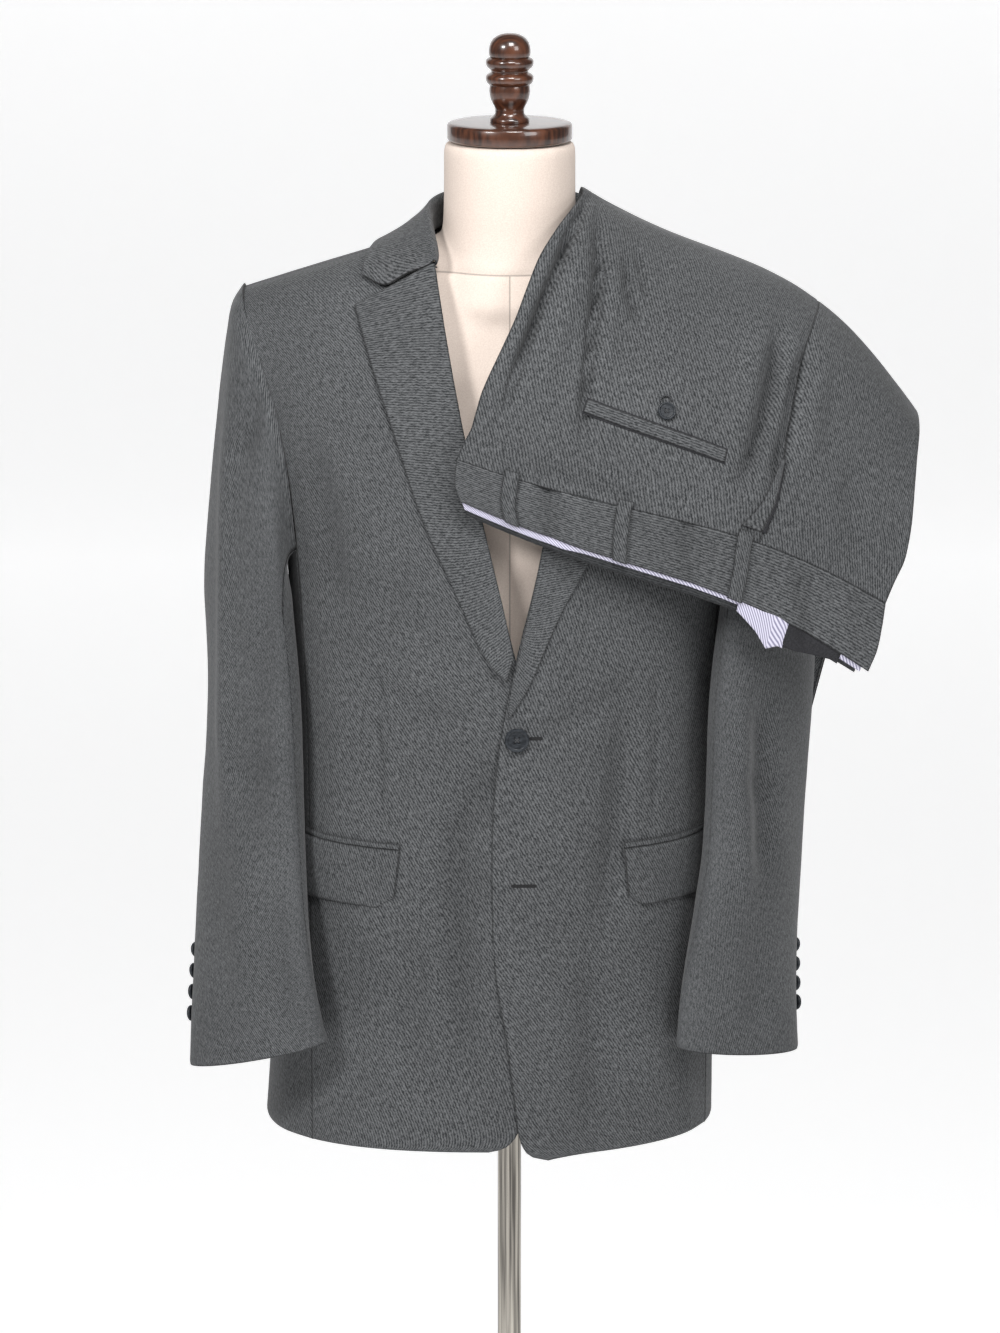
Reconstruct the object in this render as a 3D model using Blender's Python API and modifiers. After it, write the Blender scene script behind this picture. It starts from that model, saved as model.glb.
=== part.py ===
"""A two-piece suit on a limbless dress form.

Metres, +Z up, the suit faces -Y and the origin is on the floor under the pole. The viewer's left is -X, the
wearer's right. Cloth is a wall whose two faces follow one surface function, so that neighbouring pieces meet
rim to rim with a small seam gap.
"""
import math
from collections import namedtuple

import bmesh
import bpy
from mathutils import Vector

for old in list(bpy.data.objects):
    bpy.data.objects.remove(old)
SUIT = bpy.data.collections.new("suit_on_dress_form")
bpy.context.scene.collection.children.link(SUIT)
HELPERS = bpy.data.collections.new("helpers")
bpy.context.scene.collection.children.link(HELPERS)

# Cloth and gaps
JACKET_CLOTH = 0.0020
SLEEVE_CLOTH = 0.0016
TROUSER_CLOTH = 0.0012
SEAM_GAP = 0.0004
LAY_GAP = 0.0004
OVERLAP_LIFT = 0.0028
BUTTON_LIFT = 0.0026
NORMAL_STEP = 0.002

# Jacket body
CHEST_Z = 1.235
SHOULDER_X = 0.234
SHOULDER_Z = 1.4515
SHOULDER_SLOPE = 0.304
RIDGE_Y = 0.012
NECK_X = 0.080
NECK_SOFTEN = 0.020
SECTION_POWER = 2.4
CROWN_POWER = 2.5
HEM_Z = 0.718
UNDERARM_DIP = 0.018

Torso = namedtuple("Torso", "z middle half front back")
TORSO = [
    Torso(0.700, -0.0185, 0.1985, 0.153, 0.150),
    Torso(0.800, -0.0150, 0.1950, 0.155, 0.146),
    Torso(0.920, -0.0110, 0.1890, 0.156, 0.139),
    Torso(1.050, -0.0050, 0.1850, 0.156, 0.132),
    Torso(1.150, -0.0010, 0.1905, 0.156, 0.140),
    Torso(1.235, 0.0000, 0.1965, 0.154, 0.150),
    Torso(1.350, 0.0000, 0.2250, 0.147, 0.152),
    Torso(1.450, 0.0000, 0.2620, 0.135, 0.140),
    Torso(1.540, 0.0000, 0.2700, 0.120, 0.120),
]

# Rows of the body's cloth: heights above the hem, and above the chest line degrees over the shoulder
FRONT_HEM_ROWS = (0.0, 0.003, 0.010, 0.022, 0.045)
PLAIN_HEM_ROWS = (0.0, 0.022, 0.045)
BODY_ROWS = (0.10, 0.17, 0.24, 0.30, 0.36, 0.43)
SHOULDER_ROWS = (15, 30, 45, 60, 72, 82, 90)

Edge = namedtuple("Edge", "z x")
LEFT_EDGE = [
    Edge(0.711, 0.0330), Edge(0.7135, 0.0210), Edge(0.721, 0.0130), Edge(0.735, 0.0080),
    Edge(0.758, 0.0050), Edge(0.806, -0.0006), Edge(0.856, -0.0110), Edge(0.960, -0.0153),
    Edge(1.049, -0.0136), Edge(1.100, -0.0041), Edge(1.151, 0.0044), Edge(1.182, 0.0139),
    Edge(1.220, 0.0215), Edge(1.268, 0.0309), Edge(1.343, 0.0445), Edge(1.400, 0.0530),
    Edge(1.443, 0.0585), Edge(1.484, 0.0640), Edge(1.500, 0.0720),
]
RIGHT_EDGE = [
    Edge(0.718, -0.0180), Edge(0.7200, -0.0080), Edge(0.726, 0.0010), Edge(0.738, 0.0080),
    Edge(0.760, 0.0140), Edge(0.850, 0.0250), Edge(1.080, 0.0250), Edge(1.120, 0.0160),
    Edge(1.157, 0.0044), Edge(1.205, -0.0058), Edge(1.239, -0.0152), Edge(1.281, -0.0246),
    Edge(1.343, -0.0383), Edge(1.406, -0.0502), Edge(1.443, -0.0572), Edge(1.484, -0.0640),
    Edge(1.500, -0.0720),
]
FRONT_SEAM = [Edge(0.700, 0.173), Edge(0.950, 0.1745), Edge(1.100, 0.1770), Edge(1.235, 0.1850)]
BACK_SEAM = [Edge(0.700, 0.160), Edge(0.950, 0.150), Edge(1.100, 0.150), Edge(1.235, 0.1780)]
ARMHOLE_FRONT = [
    Edge(1.235, 0.1850), Edge(1.270, 0.1885), Edge(1.315, 0.1940), Edge(1.350, 0.2005), Edge(1.385, 0.2095),
    Edge(1.420, 0.2200), Edge(1.4515, 0.2340),
]
ARMHOLE_BACK = [
    Edge(1.235, 0.1780), Edge(1.270, 0.1820), Edge(1.315, 0.1890), Edge(1.350, 0.1960), Edge(1.385, 0.2060),
    Edge(1.420, 0.2180), Edge(1.4515, 0.2340),
]
BACK_NECK_DEGREES = 68.0

# Lapels: where each row starts on the roll line and ends on the outer edge
Lapel = namedtuple("Lapel", "along roll_x roll_z edge_x edge_z")
RIGHT_LAPEL = [
    Lapel(0.00, 0.0030, 1.1590, -0.0025, 1.1390),
    Lapel(0.10, -0.0030, 1.1900, -0.0175, 1.1530),
    Lapel(0.25, -0.0135, 1.2350, -0.0430, 1.2070),
    Lapel(0.45, -0.0280, 1.2960, -0.0760, 1.2814),
    Lapel(0.65, -0.0405, 1.3560, -0.0964, 1.3418),
    Lapel(0.85, -0.0535, 1.4230, -0.1180, 1.4040),
    Lapel(1.00, -0.0640, 1.4820, -0.1320, 1.4479),
]
LEFT_LAPEL = [
    Lapel(0.00, -0.0005, 1.1200, -0.0010, 1.1060),
    Lapel(0.12, 0.0080, 1.1600, 0.0140, 1.1290),
    Lapel(0.25, 0.0160, 1.1950, 0.0385, 1.1860),
    Lapel(0.45, 0.0300, 1.2650, 0.0730, 1.2530),
    Lapel(0.65, 0.0430, 1.3350, 0.0980, 1.3200),
    Lapel(0.85, 0.0550, 1.4180, 0.1200, 1.3980),
    Lapel(1.00, 0.0640, 1.4820, 0.1340, 1.4479),
]

# Collar: the fold round the neck, the stand inside it and the leaf that lies on the shoulders
Fold = namedtuple("Fold", "along x y z stand leaf_x leaf_over")
COLLAR = [
    Fold(0.00, 0.0640, -0.064, 1.4865, 0.003, 0.1246, 66),
    Fold(0.12, 0.0665, -0.050, 1.4985, 0.006, 0.1215, 78),
    Fold(0.28, 0.0700, -0.025, 1.5130, 0.010, 0.1150, 90),
    Fold(0.45, 0.0715, 0.004, 1.5235, 0.017, 0.1030, 104),
    Fold(0.62, 0.0670, 0.034, 1.5270, 0.020, 0.0880, 112),
    Fold(0.80, 0.0480, 0.062, 1.5310, 0.022, 0.0580, 114),
    Fold(1.00, 0.0000, 0.077, 1.5340, 0.024, 0.0000, 115),
]
FOLD_ROUND = 0.0042
STAND_BOW = 0.0006
GORGE_DIP = 0.0126
GORGE_REACH = 0.10
GORGE_STEP = 6
LEAF_PUFF = 0.0020

# Sleeves: each row's silhouette x, half depth and half width, place fore and aft, turn and cuff tilt
Ring = namedtuple("Ring", "z outer_x deep wide middle_y turn tilt")
RIGHT_SLEEVE = [
    Ring(1.185, -0.2700, 0.086, 0.030, -0.012, 20, 0.00),
    Ring(1.100, -0.2662, 0.083, 0.031, -0.030, 22, 0.00),
    Ring(1.000, -0.2718, 0.078, 0.031, -0.046, 29, 0.02),
    Ring(0.920, -0.2757, 0.073, 0.031, -0.078, 37, 0.08),
    Ring(0.850, -0.2785, 0.069, 0.028, -0.106, 50, 0.18),
    Ring(0.800, -0.2805, 0.067, 0.026, -0.120, 64, 0.28),
]
LEFT_SLEEVE = [
    Ring(1.185, 0.2715, 0.086, 0.031, -0.038, 24, 0.00),
    Ring(1.100, 0.2675, 0.083, 0.031, -0.047, 28, 0.00),
    Ring(1.000, 0.2610, 0.078, 0.031, -0.050, 28, 0.02),
    Ring(0.920, 0.2560, 0.073, 0.030, -0.066, 34, 0.08),
    Ring(0.850, 0.2530, 0.069, 0.027, -0.082, 45, 0.14),
    Ring(0.798, 0.2545, 0.067, 0.025, -0.094, 52, 0.18),
]
HEAD_REACH = 0.050
HEAD_DROP = 0.290
UNDERARM_REACH = 0.012
HEAD_ROWS = 7
ARM_ROWS = 9
FRONT_ARM_DEGREES = 100.0
BACK_ARM_DEGREES = 260.0
SLEEVE_FRONT_SEAM = 100.0
SLEEVE_BACK_SEAM = 260.0

# Pockets
FLAP_HIGH = 0.052
FLAP_LONG = 0.118
JET_HIGH = 0.005
POCKET_Z = 0.9870
POCKET_FRONT_X = {-1: -0.0949, 1: 0.0985}

# Buttons
FRONT_BUTTON = 0.0105
CUFF_BUTTON = 0.0070
TOP_BUTTON_AT = (0.0062, 1.0873)
LOWER_BUTTON_AT = (0.0123, 0.9587)

# Trousers: left and right edge of each row, how far forward it stands at four places, and its crest
Row = namedtuple("Row", "along left_x left_z right_x right_z crest y0 y1 y2 y3")
TROUSERS = [
    Row(-0.05, -0.0390, 1.2880, 0.3050, 1.1290, 0.018, -0.1700, -0.1745, -0.1530, -0.1180),
    Row(0.00, -0.0420, 1.2985, 0.3095, 1.1400, 0.018, -0.1700, -0.1740, -0.1530, -0.1180),
    Row(0.07, -0.0470, 1.3150, 0.3190, 1.1650, 0.018, -0.1700, -0.1730, -0.1530, -0.1160),
    Row(0.15, -0.0450, 1.3350, 0.3240, 1.1990, 0.019, -0.1690, -0.1710, -0.1520, -0.1140),
    Row(0.30, -0.0330, 1.3600, 0.3400, 1.2350, 0.022, -0.1660, -0.1670, -0.1480, -0.1080),
    Row(0.45, -0.0240, 1.3900, 0.3465, 1.2640, 0.025, -0.1600, -0.1600, -0.1420, -0.0980),
    Row(0.60, -0.0100, 1.4200, 0.3500, 1.2950, 0.028, -0.1500, -0.1450, -0.1260, -0.0820),
    Row(0.75, 0.0050, 1.4500, 0.3530, 1.3180, 0.031, -0.1310, -0.1240, -0.1030, -0.0620),
    Row(0.90, 0.0290, 1.5040, 0.3560, 1.3370, 0.037, -0.0900, -0.0860, -0.0720, -0.0420),
    Row(1.00, 0.0640, 1.5410, 0.3574, 1.3450, 0.040, 0.0000, 0.0000, 0.0000, 0.0000),
    Row(1.10, 0.0620, 1.5280, 0.3540, 1.3370, 0.037, 0.0960, 0.0860, 0.0720, 0.0400),
    Row(1.22, 0.0500, 1.4600, 0.3480, 1.3150, 0.031, 0.1330, 0.1240, 0.1030, 0.0700),
    Row(1.35, 0.0420, 1.4000, 0.3380, 1.2800, 0.028, 0.1640, 0.1560, 0.1340, 0.1060),
    Row(1.50, 0.0320, 1.3100, 0.3180, 1.2150, 0.022, 0.1780, 0.1760, 0.1580, 0.1380),
    Row(1.63, 0.0240, 1.1900, 0.2900, 1.1100, 0.015, 0.1800, 0.1800, 0.1700, 0.1600),
    Row(1.76, 0.0160, 1.0500, 0.2600, 0.9850, 0.010, 0.1780, 0.1780, 0.1740, 0.1700),
    Row(1.88, 0.0100, 0.9000, 0.2340, 0.8550, 0.006, 0.1760, 0.1760, 0.1740, 0.1720),
    Row(2.00, 0.0040, 0.7450, 0.2140, 0.7250, 0.003, 0.1760, 0.1760, 0.1760, 0.1740),
]
CREST_PLACE = 1.7
TROUSER_SETTLE = 0.0012
TROUSER_ROWS = (
    0.153, 0.22, 0.30, 0.375, 0.45, 0.525, 0.60, 0.675, 0.75, 0.82, 0.88, 0.93, 0.97,
    1.00, 1.03, 1.07, 1.12, 1.18, 1.25, 1.35, 1.50, 1.63, 1.76, 1.88, 2.00,
)
BACK_COLUMNS = 9
FRONT_COLUMNS = 5
SIDE_SEAM = 0.70
BAND_TOP = 0.150
WAISTBAND_CLOTH = 0.0020
LINING_CLOTH = 0.0008
UNDER_START = 0.0016
UNDER_END = 0.0050
LOOP_PLACES = (0.125, 0.385, 0.665)
LOOP_WIDE = 0.034

# Dress form
FORM_TOP_GAP = 0.0010
FORM_BOTTOM_Z = 0.820
NECK_RADIUS = 0.0576
CAP_RADIUS = 0.0543
CAP_TOP_Z = 1.600
CAP_BOTTOM_Z = 1.584
POLE_RADIUS = 0.0105
BASE_RADIUS = 0.165
BASE_THICK = 0.014

Form = namedtuple("Form", "z half front back")
FORM = [
    Form(0.820, 0.150, 0.112, 0.112),
    Form(0.900, 0.158, 0.118, 0.118),
    Form(1.000, 0.140, 0.112, 0.102),
    Form(1.100, 0.142, 0.120, 0.106),
    Form(1.235, 0.160, 0.130, 0.120),
    Form(1.350, 0.176, 0.122, 0.122),
    Form(1.450, 0.190, 0.100, 0.090),
    Form(1.540, 0.190, 0.080, 0.062),
]


def smooth(table, key, column, at):
    """The value of a column of a table at a place, on a smooth curve through its rows."""
    keys = [getattr(row, key) for row in table]
    values = [getattr(row, column) for row in table]
    if at <= keys[0]:
        return values[0]
    if at >= keys[-1]:
        return values[-1]
    i = max(j for j in range(len(keys) - 1) if keys[j] <= at)
    span = keys[i + 1] - keys[i]
    t = (at - keys[i]) / span
    rise = (values[i + 1] - values[i]) / span
    before = rise if i == 0 else (values[i] - values[i - 1]) / (keys[i] - keys[i - 1])
    after = rise if i + 2 == len(keys) else (values[i + 2] - values[i + 1]) / (keys[i + 2] - keys[i + 1])
    start = 0.0 if before * rise <= 0 else 2 * before * rise / (before + rise)
    end = 0.0 if after * rise <= 0 else 2 * after * rise / (after + rise)
    return (
        (2 * t**3 - 3 * t**2 + 1) * values[i]
        + (t**3 - 2 * t**2 + t) * span * start
        + (3 * t**2 - 2 * t**3) * values[i + 1]
        + (t**3 - t**2) * span * end
    )


def mix(a, b, t):
    return a + (b - a) * t


def ease(t):
    t = min(1.0, max(0.0, t))
    return t * t * (3 - 2 * t)


def at_rows(rows, v):
    """Reads a list of row values at v from 0 to 1, straight between rows."""
    place = min(max(v, 0.0), 1.0) * (len(rows) - 1)
    i = min(int(place), len(rows) - 2)
    return mix(rows[i], rows[i + 1], place - i)


# The jacket's body surface

def ridge_z(x):
    return SHOULDER_Z + SHOULDER_SLOPE * (SHOULDER_X - math.hypot(x, NECK_SOFTEN) + NECK_SOFTEN / 3)


def depth(x, z, facing):
    """How far the body stands out at x and z, towards the front (facing -1) or the back (+1)."""
    reach = abs(x - smooth(TORSO, "z", "middle", z)) / smooth(TORSO, "z", "half", z)
    side = max(1 - min(reach, 1.0) ** SECTION_POWER, 0.0) ** (1 / SECTION_POWER)
    return facing * smooth(TORSO, "z", "front" if facing < 0 else "back", z) * side


def shoulder_point(x_top, x_row, degrees, facing):
    """A point of the upper body, where the cloth curves over to the shoulder seam."""
    rise = math.sin(math.radians(degrees)) ** (2 / CROWN_POWER)
    fall = max(math.cos(math.radians(degrees)), 0.0) ** (2 / CROWN_POWER)
    z = CHEST_Z + (ridge_z(x_top) - CHEST_Z) * rise
    x = mix(x_row(z), x_top, math.sin(math.radians(degrees)) ** 6)
    return Vector((x, RIDGE_Y + (depth(x, z, facing) - RIDGE_Y) * fall, z))


def overlap_lift(x, z):
    """How far the left front stands off the right front that it laps over."""
    over = ease((0.065 - x) / 0.030) * ease((1.200 - z) / 0.040)
    bulge = BUTTON_LIFT * math.exp(-(((z - LOWER_BUTTON_AT[1]) / 0.060) ** 2))
    return (OVERLAP_LIFT + bulge) * over


def hem_z(side, s):
    return HEM_Z - (0.007 * (1 - s) ** 2 if side > 0 else 0.0)


def front_point(side, s, level):
    """The front at s from its free edge to its side seam. A level up to 0 is below the chest line."""
    edge = LEFT_EDGE if side > 0 else RIGHT_EDGE
    inset = SEAM_GAP / 2
    if level <= 0:
        z = mix(CHEST_Z, hem_z(side, s), -level)
        x = mix(smooth(edge, "z", "x", z), side * (smooth(FRONT_SEAM, "z", "x", z) - inset), s)
        lift = overlap_lift(x, z) if side > 0 else 0.0
        return Vector((x, depth(x, z, -1) - lift, z))

    def x_row(z):
        return mix(smooth(edge, "z", "x", z), side * (smooth(ARMHOLE_FRONT, "z", "x", z) - inset), s)

    return shoulder_point(side * mix(NECK_X, SHOULDER_X - inset, s), x_row, level, -1)


def side_point(side, s, level):
    """The side panel at s from its front seam to its back seam."""
    top = CHEST_Z - UNDERARM_DIP * math.sin(math.pi * s)
    z = mix(top, hem_z(side, 1), -level)
    middle = smooth(TORSO, "z", "middle", z)
    half = smooth(TORSO, "z", "half", z)
    front = abs(side * (smooth(FRONT_SEAM, "z", "x", z) + SEAM_GAP / 2) - middle) / half
    back = abs(side * (smooth(BACK_SEAM, "z", "x", z) + SEAM_GAP / 2) - middle) / half
    start = math.asin(min(front, 1.0) ** (SECTION_POWER / 2))
    end = math.pi - math.asin(min(back, 1.0) ** (SECTION_POWER / 2))
    turn = mix(start, end, s)
    facing = "front" if math.cos(turn) > 0 else "back"
    x = middle + side * half * math.sin(turn) ** (2 / SECTION_POWER)
    out = smooth(TORSO, "z", facing, z) * abs(math.cos(turn)) ** (2 / SECTION_POWER)
    return Vector((x, -out if facing == "front" else out, z))


def back_point(side, s, level):
    """The back at s from the centre back seam to the side seam or armhole."""
    inset = SEAM_GAP / 2
    if level <= 0:
        z = mix(CHEST_Z, hem_z(side, 1), -level)
        middle = smooth(TORSO, "z", "middle", z) + side * inset
        x = mix(middle, side * (smooth(BACK_SEAM, "z", "x", z) - inset), s)
        return Vector((x, depth(x, z, 1), z))

    def x_row(z):
        return mix(side * inset, side * (smooth(ARMHOLE_BACK, "z", "x", z) - inset), s)

    x_top = side * mix(inset, SHOULDER_X - inset, s)
    neck = max(0.0, 1 - (x_top / NECK_X) ** 2)
    last = 90.0 - (90.0 - BACK_NECK_DEGREES) * neck
    point = shoulder_point(x_top, x_row, level * last / 90.0, 1)
    point.y += SEAM_GAP if level > 85 and neck == 0.0 else 0.0
    return point


def body_levels(heights):
    """Levels of rows: minus a share of the length below the chest, then degrees over the shoulder."""
    length = CHEST_Z - HEM_Z
    below = [-(1 - height / length) for height in heights]
    return below + [0.0] + list(SHOULDER_ROWS)


# Making the solids

def new_object(name, mesh, material):
    obj = bpy.data.objects.new(name, mesh)
    SUIT.objects.link(obj)
    mesh.materials.append(material)
    for polygon in mesh.polygons:
        polygon.use_smooth = True
    mesh.set_sharp_from_angle(angle=math.radians(40))
    return obj


def finish(name, bm, material):
    bmesh.ops.recalc_face_normals(bm, faces=bm.faces)
    if bm.calc_volume(signed=True) < 0:
        bmesh.ops.reverse_faces(bm, faces=bm.faces)
    mesh = bpy.data.meshes.new(name)
    bm.to_mesh(mesh)
    bm.free()
    return new_object(name, mesh, material)


def normal_at(surface, u, v):
    """The unit normal of a surface at u and v, by its slopes."""
    u0, u1 = max(u - NORMAL_STEP, 0.0), min(u + NORMAL_STEP, 1.0)
    v0, v1 = max(v - NORMAL_STEP, 0.0), min(v + NORMAL_STEP, 1.0)
    across = surface(u1, v) - surface(u0, v)
    along = surface(u, v1) - surface(u, v0)
    return across.cross(along).normalized()


def cloth(name, surface, columns, rows, thick, material, inside, lift=0.0, grooves=0):
    """A wall of cloth: a grid laid on the surface, extruded to its thickness towards the point inside."""
    middle = surface(0.5, 0.5)
    sign = 1.0 if normal_at(surface, 0.5, 0.5).dot(middle - Vector(inside)) > 0 else -1.0
    bm = bmesh.new()
    bmesh.ops.create_grid(bm, x_segments=columns, y_segments=rows, size=0.5)
    made = bmesh.ops.extrude_face_region(bm, geom=list(bm.faces))
    inner = {item for item in made["geom"] if isinstance(item, bmesh.types.BMVert)}
    for vert in bm.verts:
        u, v = vert.co.x + 0.5, vert.co.y + 0.5
        deep = thick if vert in inner else 0.0
        vert.co = surface(u, v) + normal_at(surface, u, v) * sign * (lift - deep)
    if grooves:
        groove_rim(bm, inner, thick, grooves)
    return finish(name, bm, material)


def groove_rim(bm, inner, thick, layers):
    """Cuts the rim of a wall into layers, each a little rounded, as the edges of stacked cloth."""
    rim = [e for e in bm.edges if (e.verts[0] in inner) != (e.verts[1] in inner)]
    cut = bmesh.ops.subdivide_edges(bm, edges=rim, cuts=layers - 1)
    added = [item for item in cut["geom_inner"] if isinstance(item, bmesh.types.BMVert)]
    bm.normal_update()
    moves = [(vert, vert.normal.copy()) for vert in added]
    for vert, normal in moves:
        vert.co -= normal * thick / layers * 0.45


def turned(name, profile, steps, material, at=(0, 0, 0), axis=None):
    """A turned solid from a profile of (radius, height) pairs that runs down its outer side."""
    mesh = bpy.data.meshes.new(name)
    points = [(radius, 0.0, height) for radius, height in profile]
    mesh.from_pydata(points, [(i, i + 1) for i in range(len(points) - 1)], [])
    obj = bpy.data.objects.new(name, mesh)
    SUIT.objects.link(obj)
    screw = obj.modifiers.new("Turn", "SCREW")
    screw.steps = steps
    screw.render_steps = steps
    screw.use_merge_vertices = True
    screw.merge_threshold = 0.00001
    screw.use_smooth_shade = True
    mesh.materials.append(material)
    obj.location = at
    if axis is not None:
        obj.rotation_mode = "QUATERNION"
        obj.rotation_quaternion = Vector((0, 0, 1)).rotation_difference(Vector(axis))
    return obj


def plain_material(name, colour, roughness, metallic=0.0):
    material = bpy.data.materials.new(name)
    material.use_nodes = True
    shader = material.node_tree.nodes["Principled BSDF"]
    shader.inputs["Base Color"].default_value = (*colour, 1.0)
    shader.inputs["Roughness"].default_value = roughness
    shader.inputs["Metallic"].default_value = metallic
    return material


WOOL = plain_material("grey_worsted", (0.105, 0.110, 0.108), 0.85)
LINING = plain_material("striped_lining", (0.68, 0.65, 0.78), 0.55)
HORN = plain_material("dark_horn", (0.035, 0.040, 0.045), 0.35)
COVER = plain_material("cream_cover", (0.92, 0.86, 0.78), 0.80)
WOOD = plain_material("stained_wood", (0.075, 0.026, 0.014), 0.30)
STEEL = plain_material("nickel", (0.62, 0.58, 0.52), 0.25, 1.0)


# Jacket

def row_surface(point, side, levels):
    def surface(u, v):
        return point(side, u, at_rows(levels, v))

    return surface


def make_body():
    levels = body_levels(FRONT_HEM_ROWS + BODY_ROWS)
    plain = body_levels(PLAIN_HEM_ROWS + BODY_ROWS)
    below = plain[: plain.index(0.0) + 1]
    for side, word in ((1, "left"), (-1, "right")):
        inside = (0.0, 0.0, 1.1)
        front = row_surface(front_point, side, levels)
        cloth(f"front_{word}", front, 9, len(levels) - 1, JACKET_CLOTH, WOOL, inside)
        flank = row_surface(side_point, side, below)
        cloth(f"side_{word}", flank, 6, len(below) - 1, JACKET_CLOTH, WOOL, inside)
        back = row_surface(back_point, side, plain)
        cloth(f"back_{word}", back, 8, len(plain) - 1, JACKET_CLOTH, WOOL, inside)


def upper_front(x, z):
    """The front's surface at x and z, also above the chest line."""
    if z <= CHEST_Z:
        return Vector((x, depth(x, z, -1) - (overlap_lift(x, z) if x > -0.02 else 0.0), z))
    rise = min((z - CHEST_Z) / (ridge_z(x) - CHEST_Z), 1.0)
    fall = (1 - rise**CROWN_POWER) ** (1 / CROWN_POWER)
    return Vector((x, RIDGE_Y + (depth(x, z, -1) - RIDGE_Y) * fall, z))


def lapel_surface(table):
    def surface(u, v):
        x = mix(smooth(table, "along", "roll_x", v), smooth(table, "along", "edge_x", v), u)
        z = mix(smooth(table, "along", "roll_z", v), smooth(table, "along", "edge_z", v), u)
        return upper_front(x, z)

    return surface


def make_lapels():
    inside = (0.0, 0.0, 1.2)
    for table, word in ((LEFT_LAPEL, "left"), (RIGHT_LAPEL, "right")):
        surface = lapel_surface(table)
        cloth(f"lapel_{word}", surface, 4, 14, JACKET_CLOTH, WOOL, inside, lift=JACKET_CLOTH + LAY_GAP * 2)


def collar_section(along, side):
    """The collar's section: up the stand, over the fold and down the leaf to its edge."""
    def read(column):
        return smooth(COLLAR, "along", column, along)

    fold = Vector((side * read("x"), read("y"), read("z")))
    over = read("leaf_over")
    leaf_x = side * read("leaf_x")
    facing = -1 if over < 90 else 1
    degrees = over if over < 90 else 180 - over
    edge = shoulder_point(leaf_x, lambda z: leaf_x, degrees, facing)
    out = Vector((edge.x - fold.x, edge.y - fold.y, 0.0)).normalized()
    up = Vector((0, 0, 1))
    edge = edge + up * (JACKET_CLOTH + 2 * LAY_GAP) * math.sin(math.radians(degrees)) + out * 0.0028
    foot = fold - up * (read("stand") + FOLD_ROUND) - out * FOLD_ROUND
    lower = shoulder_point(leaf_x, lambda z: leaf_x, degrees - GORGE_STEP, facing)
    slide = lower - shoulder_point(leaf_x, lambda z: leaf_x, degrees, facing)
    slide = slide / -slide.z * GORGE_DIP * max(0.0, 1 - along / GORGE_REACH)
    over_fold = fold - up * FOLD_ROUND + out * FOLD_ROUND
    puff = up * LEAF_PUFF * math.sin(math.radians(degrees))
    return [
        foot,
        mix(foot, fold - up * FOLD_ROUND - out * FOLD_ROUND, 0.6) + out * STAND_BOW,
        fold - up * FOLD_ROUND * 0.9 - out * FOLD_ROUND,
        fold,
        fold - up * FOLD_ROUND * 0.9 + out * FOLD_ROUND,
        mix(over_fold, edge, 0.33) + puff + slide * 0.45,
        mix(over_fold, edge, 0.66) + puff * 0.8 + slide,
        edge,
    ]


def collar_surface(u, v):
    side = -1 if u < 0.5 else 1
    along = 1 - abs(u - 0.5) * 2
    points = collar_section(along, side)
    return at_rows(points, v)


def make_collar():
    cloth("collar", collar_surface, 26, 7, JACKET_CLOTH, WOOL, (0.0, 0.0, 1.3))


# Sleeves

def armhole_point(side, degrees):
    """The armhole's edge: over the front from the shoulder, under the arm and up the back."""
    if degrees <= FRONT_ARM_DEGREES:
        return front_point(side, 1.0, 90.0 * (1 - degrees / FRONT_ARM_DEGREES))
    if degrees < BACK_ARM_DEGREES:
        return side_point(side, (degrees - FRONT_ARM_DEGREES) / (BACK_ARM_DEGREES - FRONT_ARM_DEGREES), 0.0)
    return back_point(side, 1.0, 90.0 * (degrees - BACK_ARM_DEGREES) / (360.0 - BACK_ARM_DEGREES))


def ring_point(table, side, degrees, z):
    """A point of the sleeve's ring at a height: 0 degrees outward, 90 forward, 180 against the body."""
    turn = math.radians(smooth_down(table, "turn", z))
    deep, wide = smooth_down(table, "deep", z), smooth_down(table, "wide", z)
    half = math.hypot(deep * math.sin(turn), wide * math.cos(turn))
    middle = Vector((smooth_down(table, "outer_x", z) - side * half, smooth_down(table, "middle_y", z), z))
    fore = Vector((-side * math.sin(turn), -math.cos(turn), 0.0))
    outward = Vector((side * math.cos(turn), -math.sin(turn), 0.0))
    angle = math.radians(degrees)
    offset = outward * wide * math.cos(angle) + fore * deep * math.sin(angle)
    offset.z = -side * offset.x * smooth_down(table, "tilt", z)
    return middle + offset


def smooth_down(table, column, z):
    return smooth(table[::-1], "z", column, z)


def sleeve_point(table, side, degrees, v):
    """The sleeve: from the armhole over its head to the first ring, then down the arm to the cuff."""
    head = HEAD_ROWS / (HEAD_ROWS + ARM_ROWS)
    first, last = table[0].z, table[-1].z
    if v >= head:
        return ring_point(table, side, degrees, mix(first, last, (v - head) / (1 - head)))
    t = v / head
    degrees = degrees % 360.0
    angle = math.radians(degrees)
    top = (1 + math.cos(angle)) / 2
    start = armhole_point(side, degrees)
    end = ring_point(table, side, degrees, first)
    leave = Vector((side, -0.55 * math.sin(angle), -0.12 - 0.5 * (1 - top))).normalized()
    start = start + leave * SEAM_GAP
    leave = leave * mix(UNDERARM_REACH, HEAD_REACH, top)
    arrive = Vector((0, 0, -1)) * mix(UNDERARM_REACH, HEAD_DROP, top)
    return (
        start * (2 * t**3 - 3 * t**2 + 1)
        + leave * (t**3 - 2 * t**2 + t)
        + end * (3 * t**2 - 2 * t**3)
        + arrive * (t**3 - t**2)
    )


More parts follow.
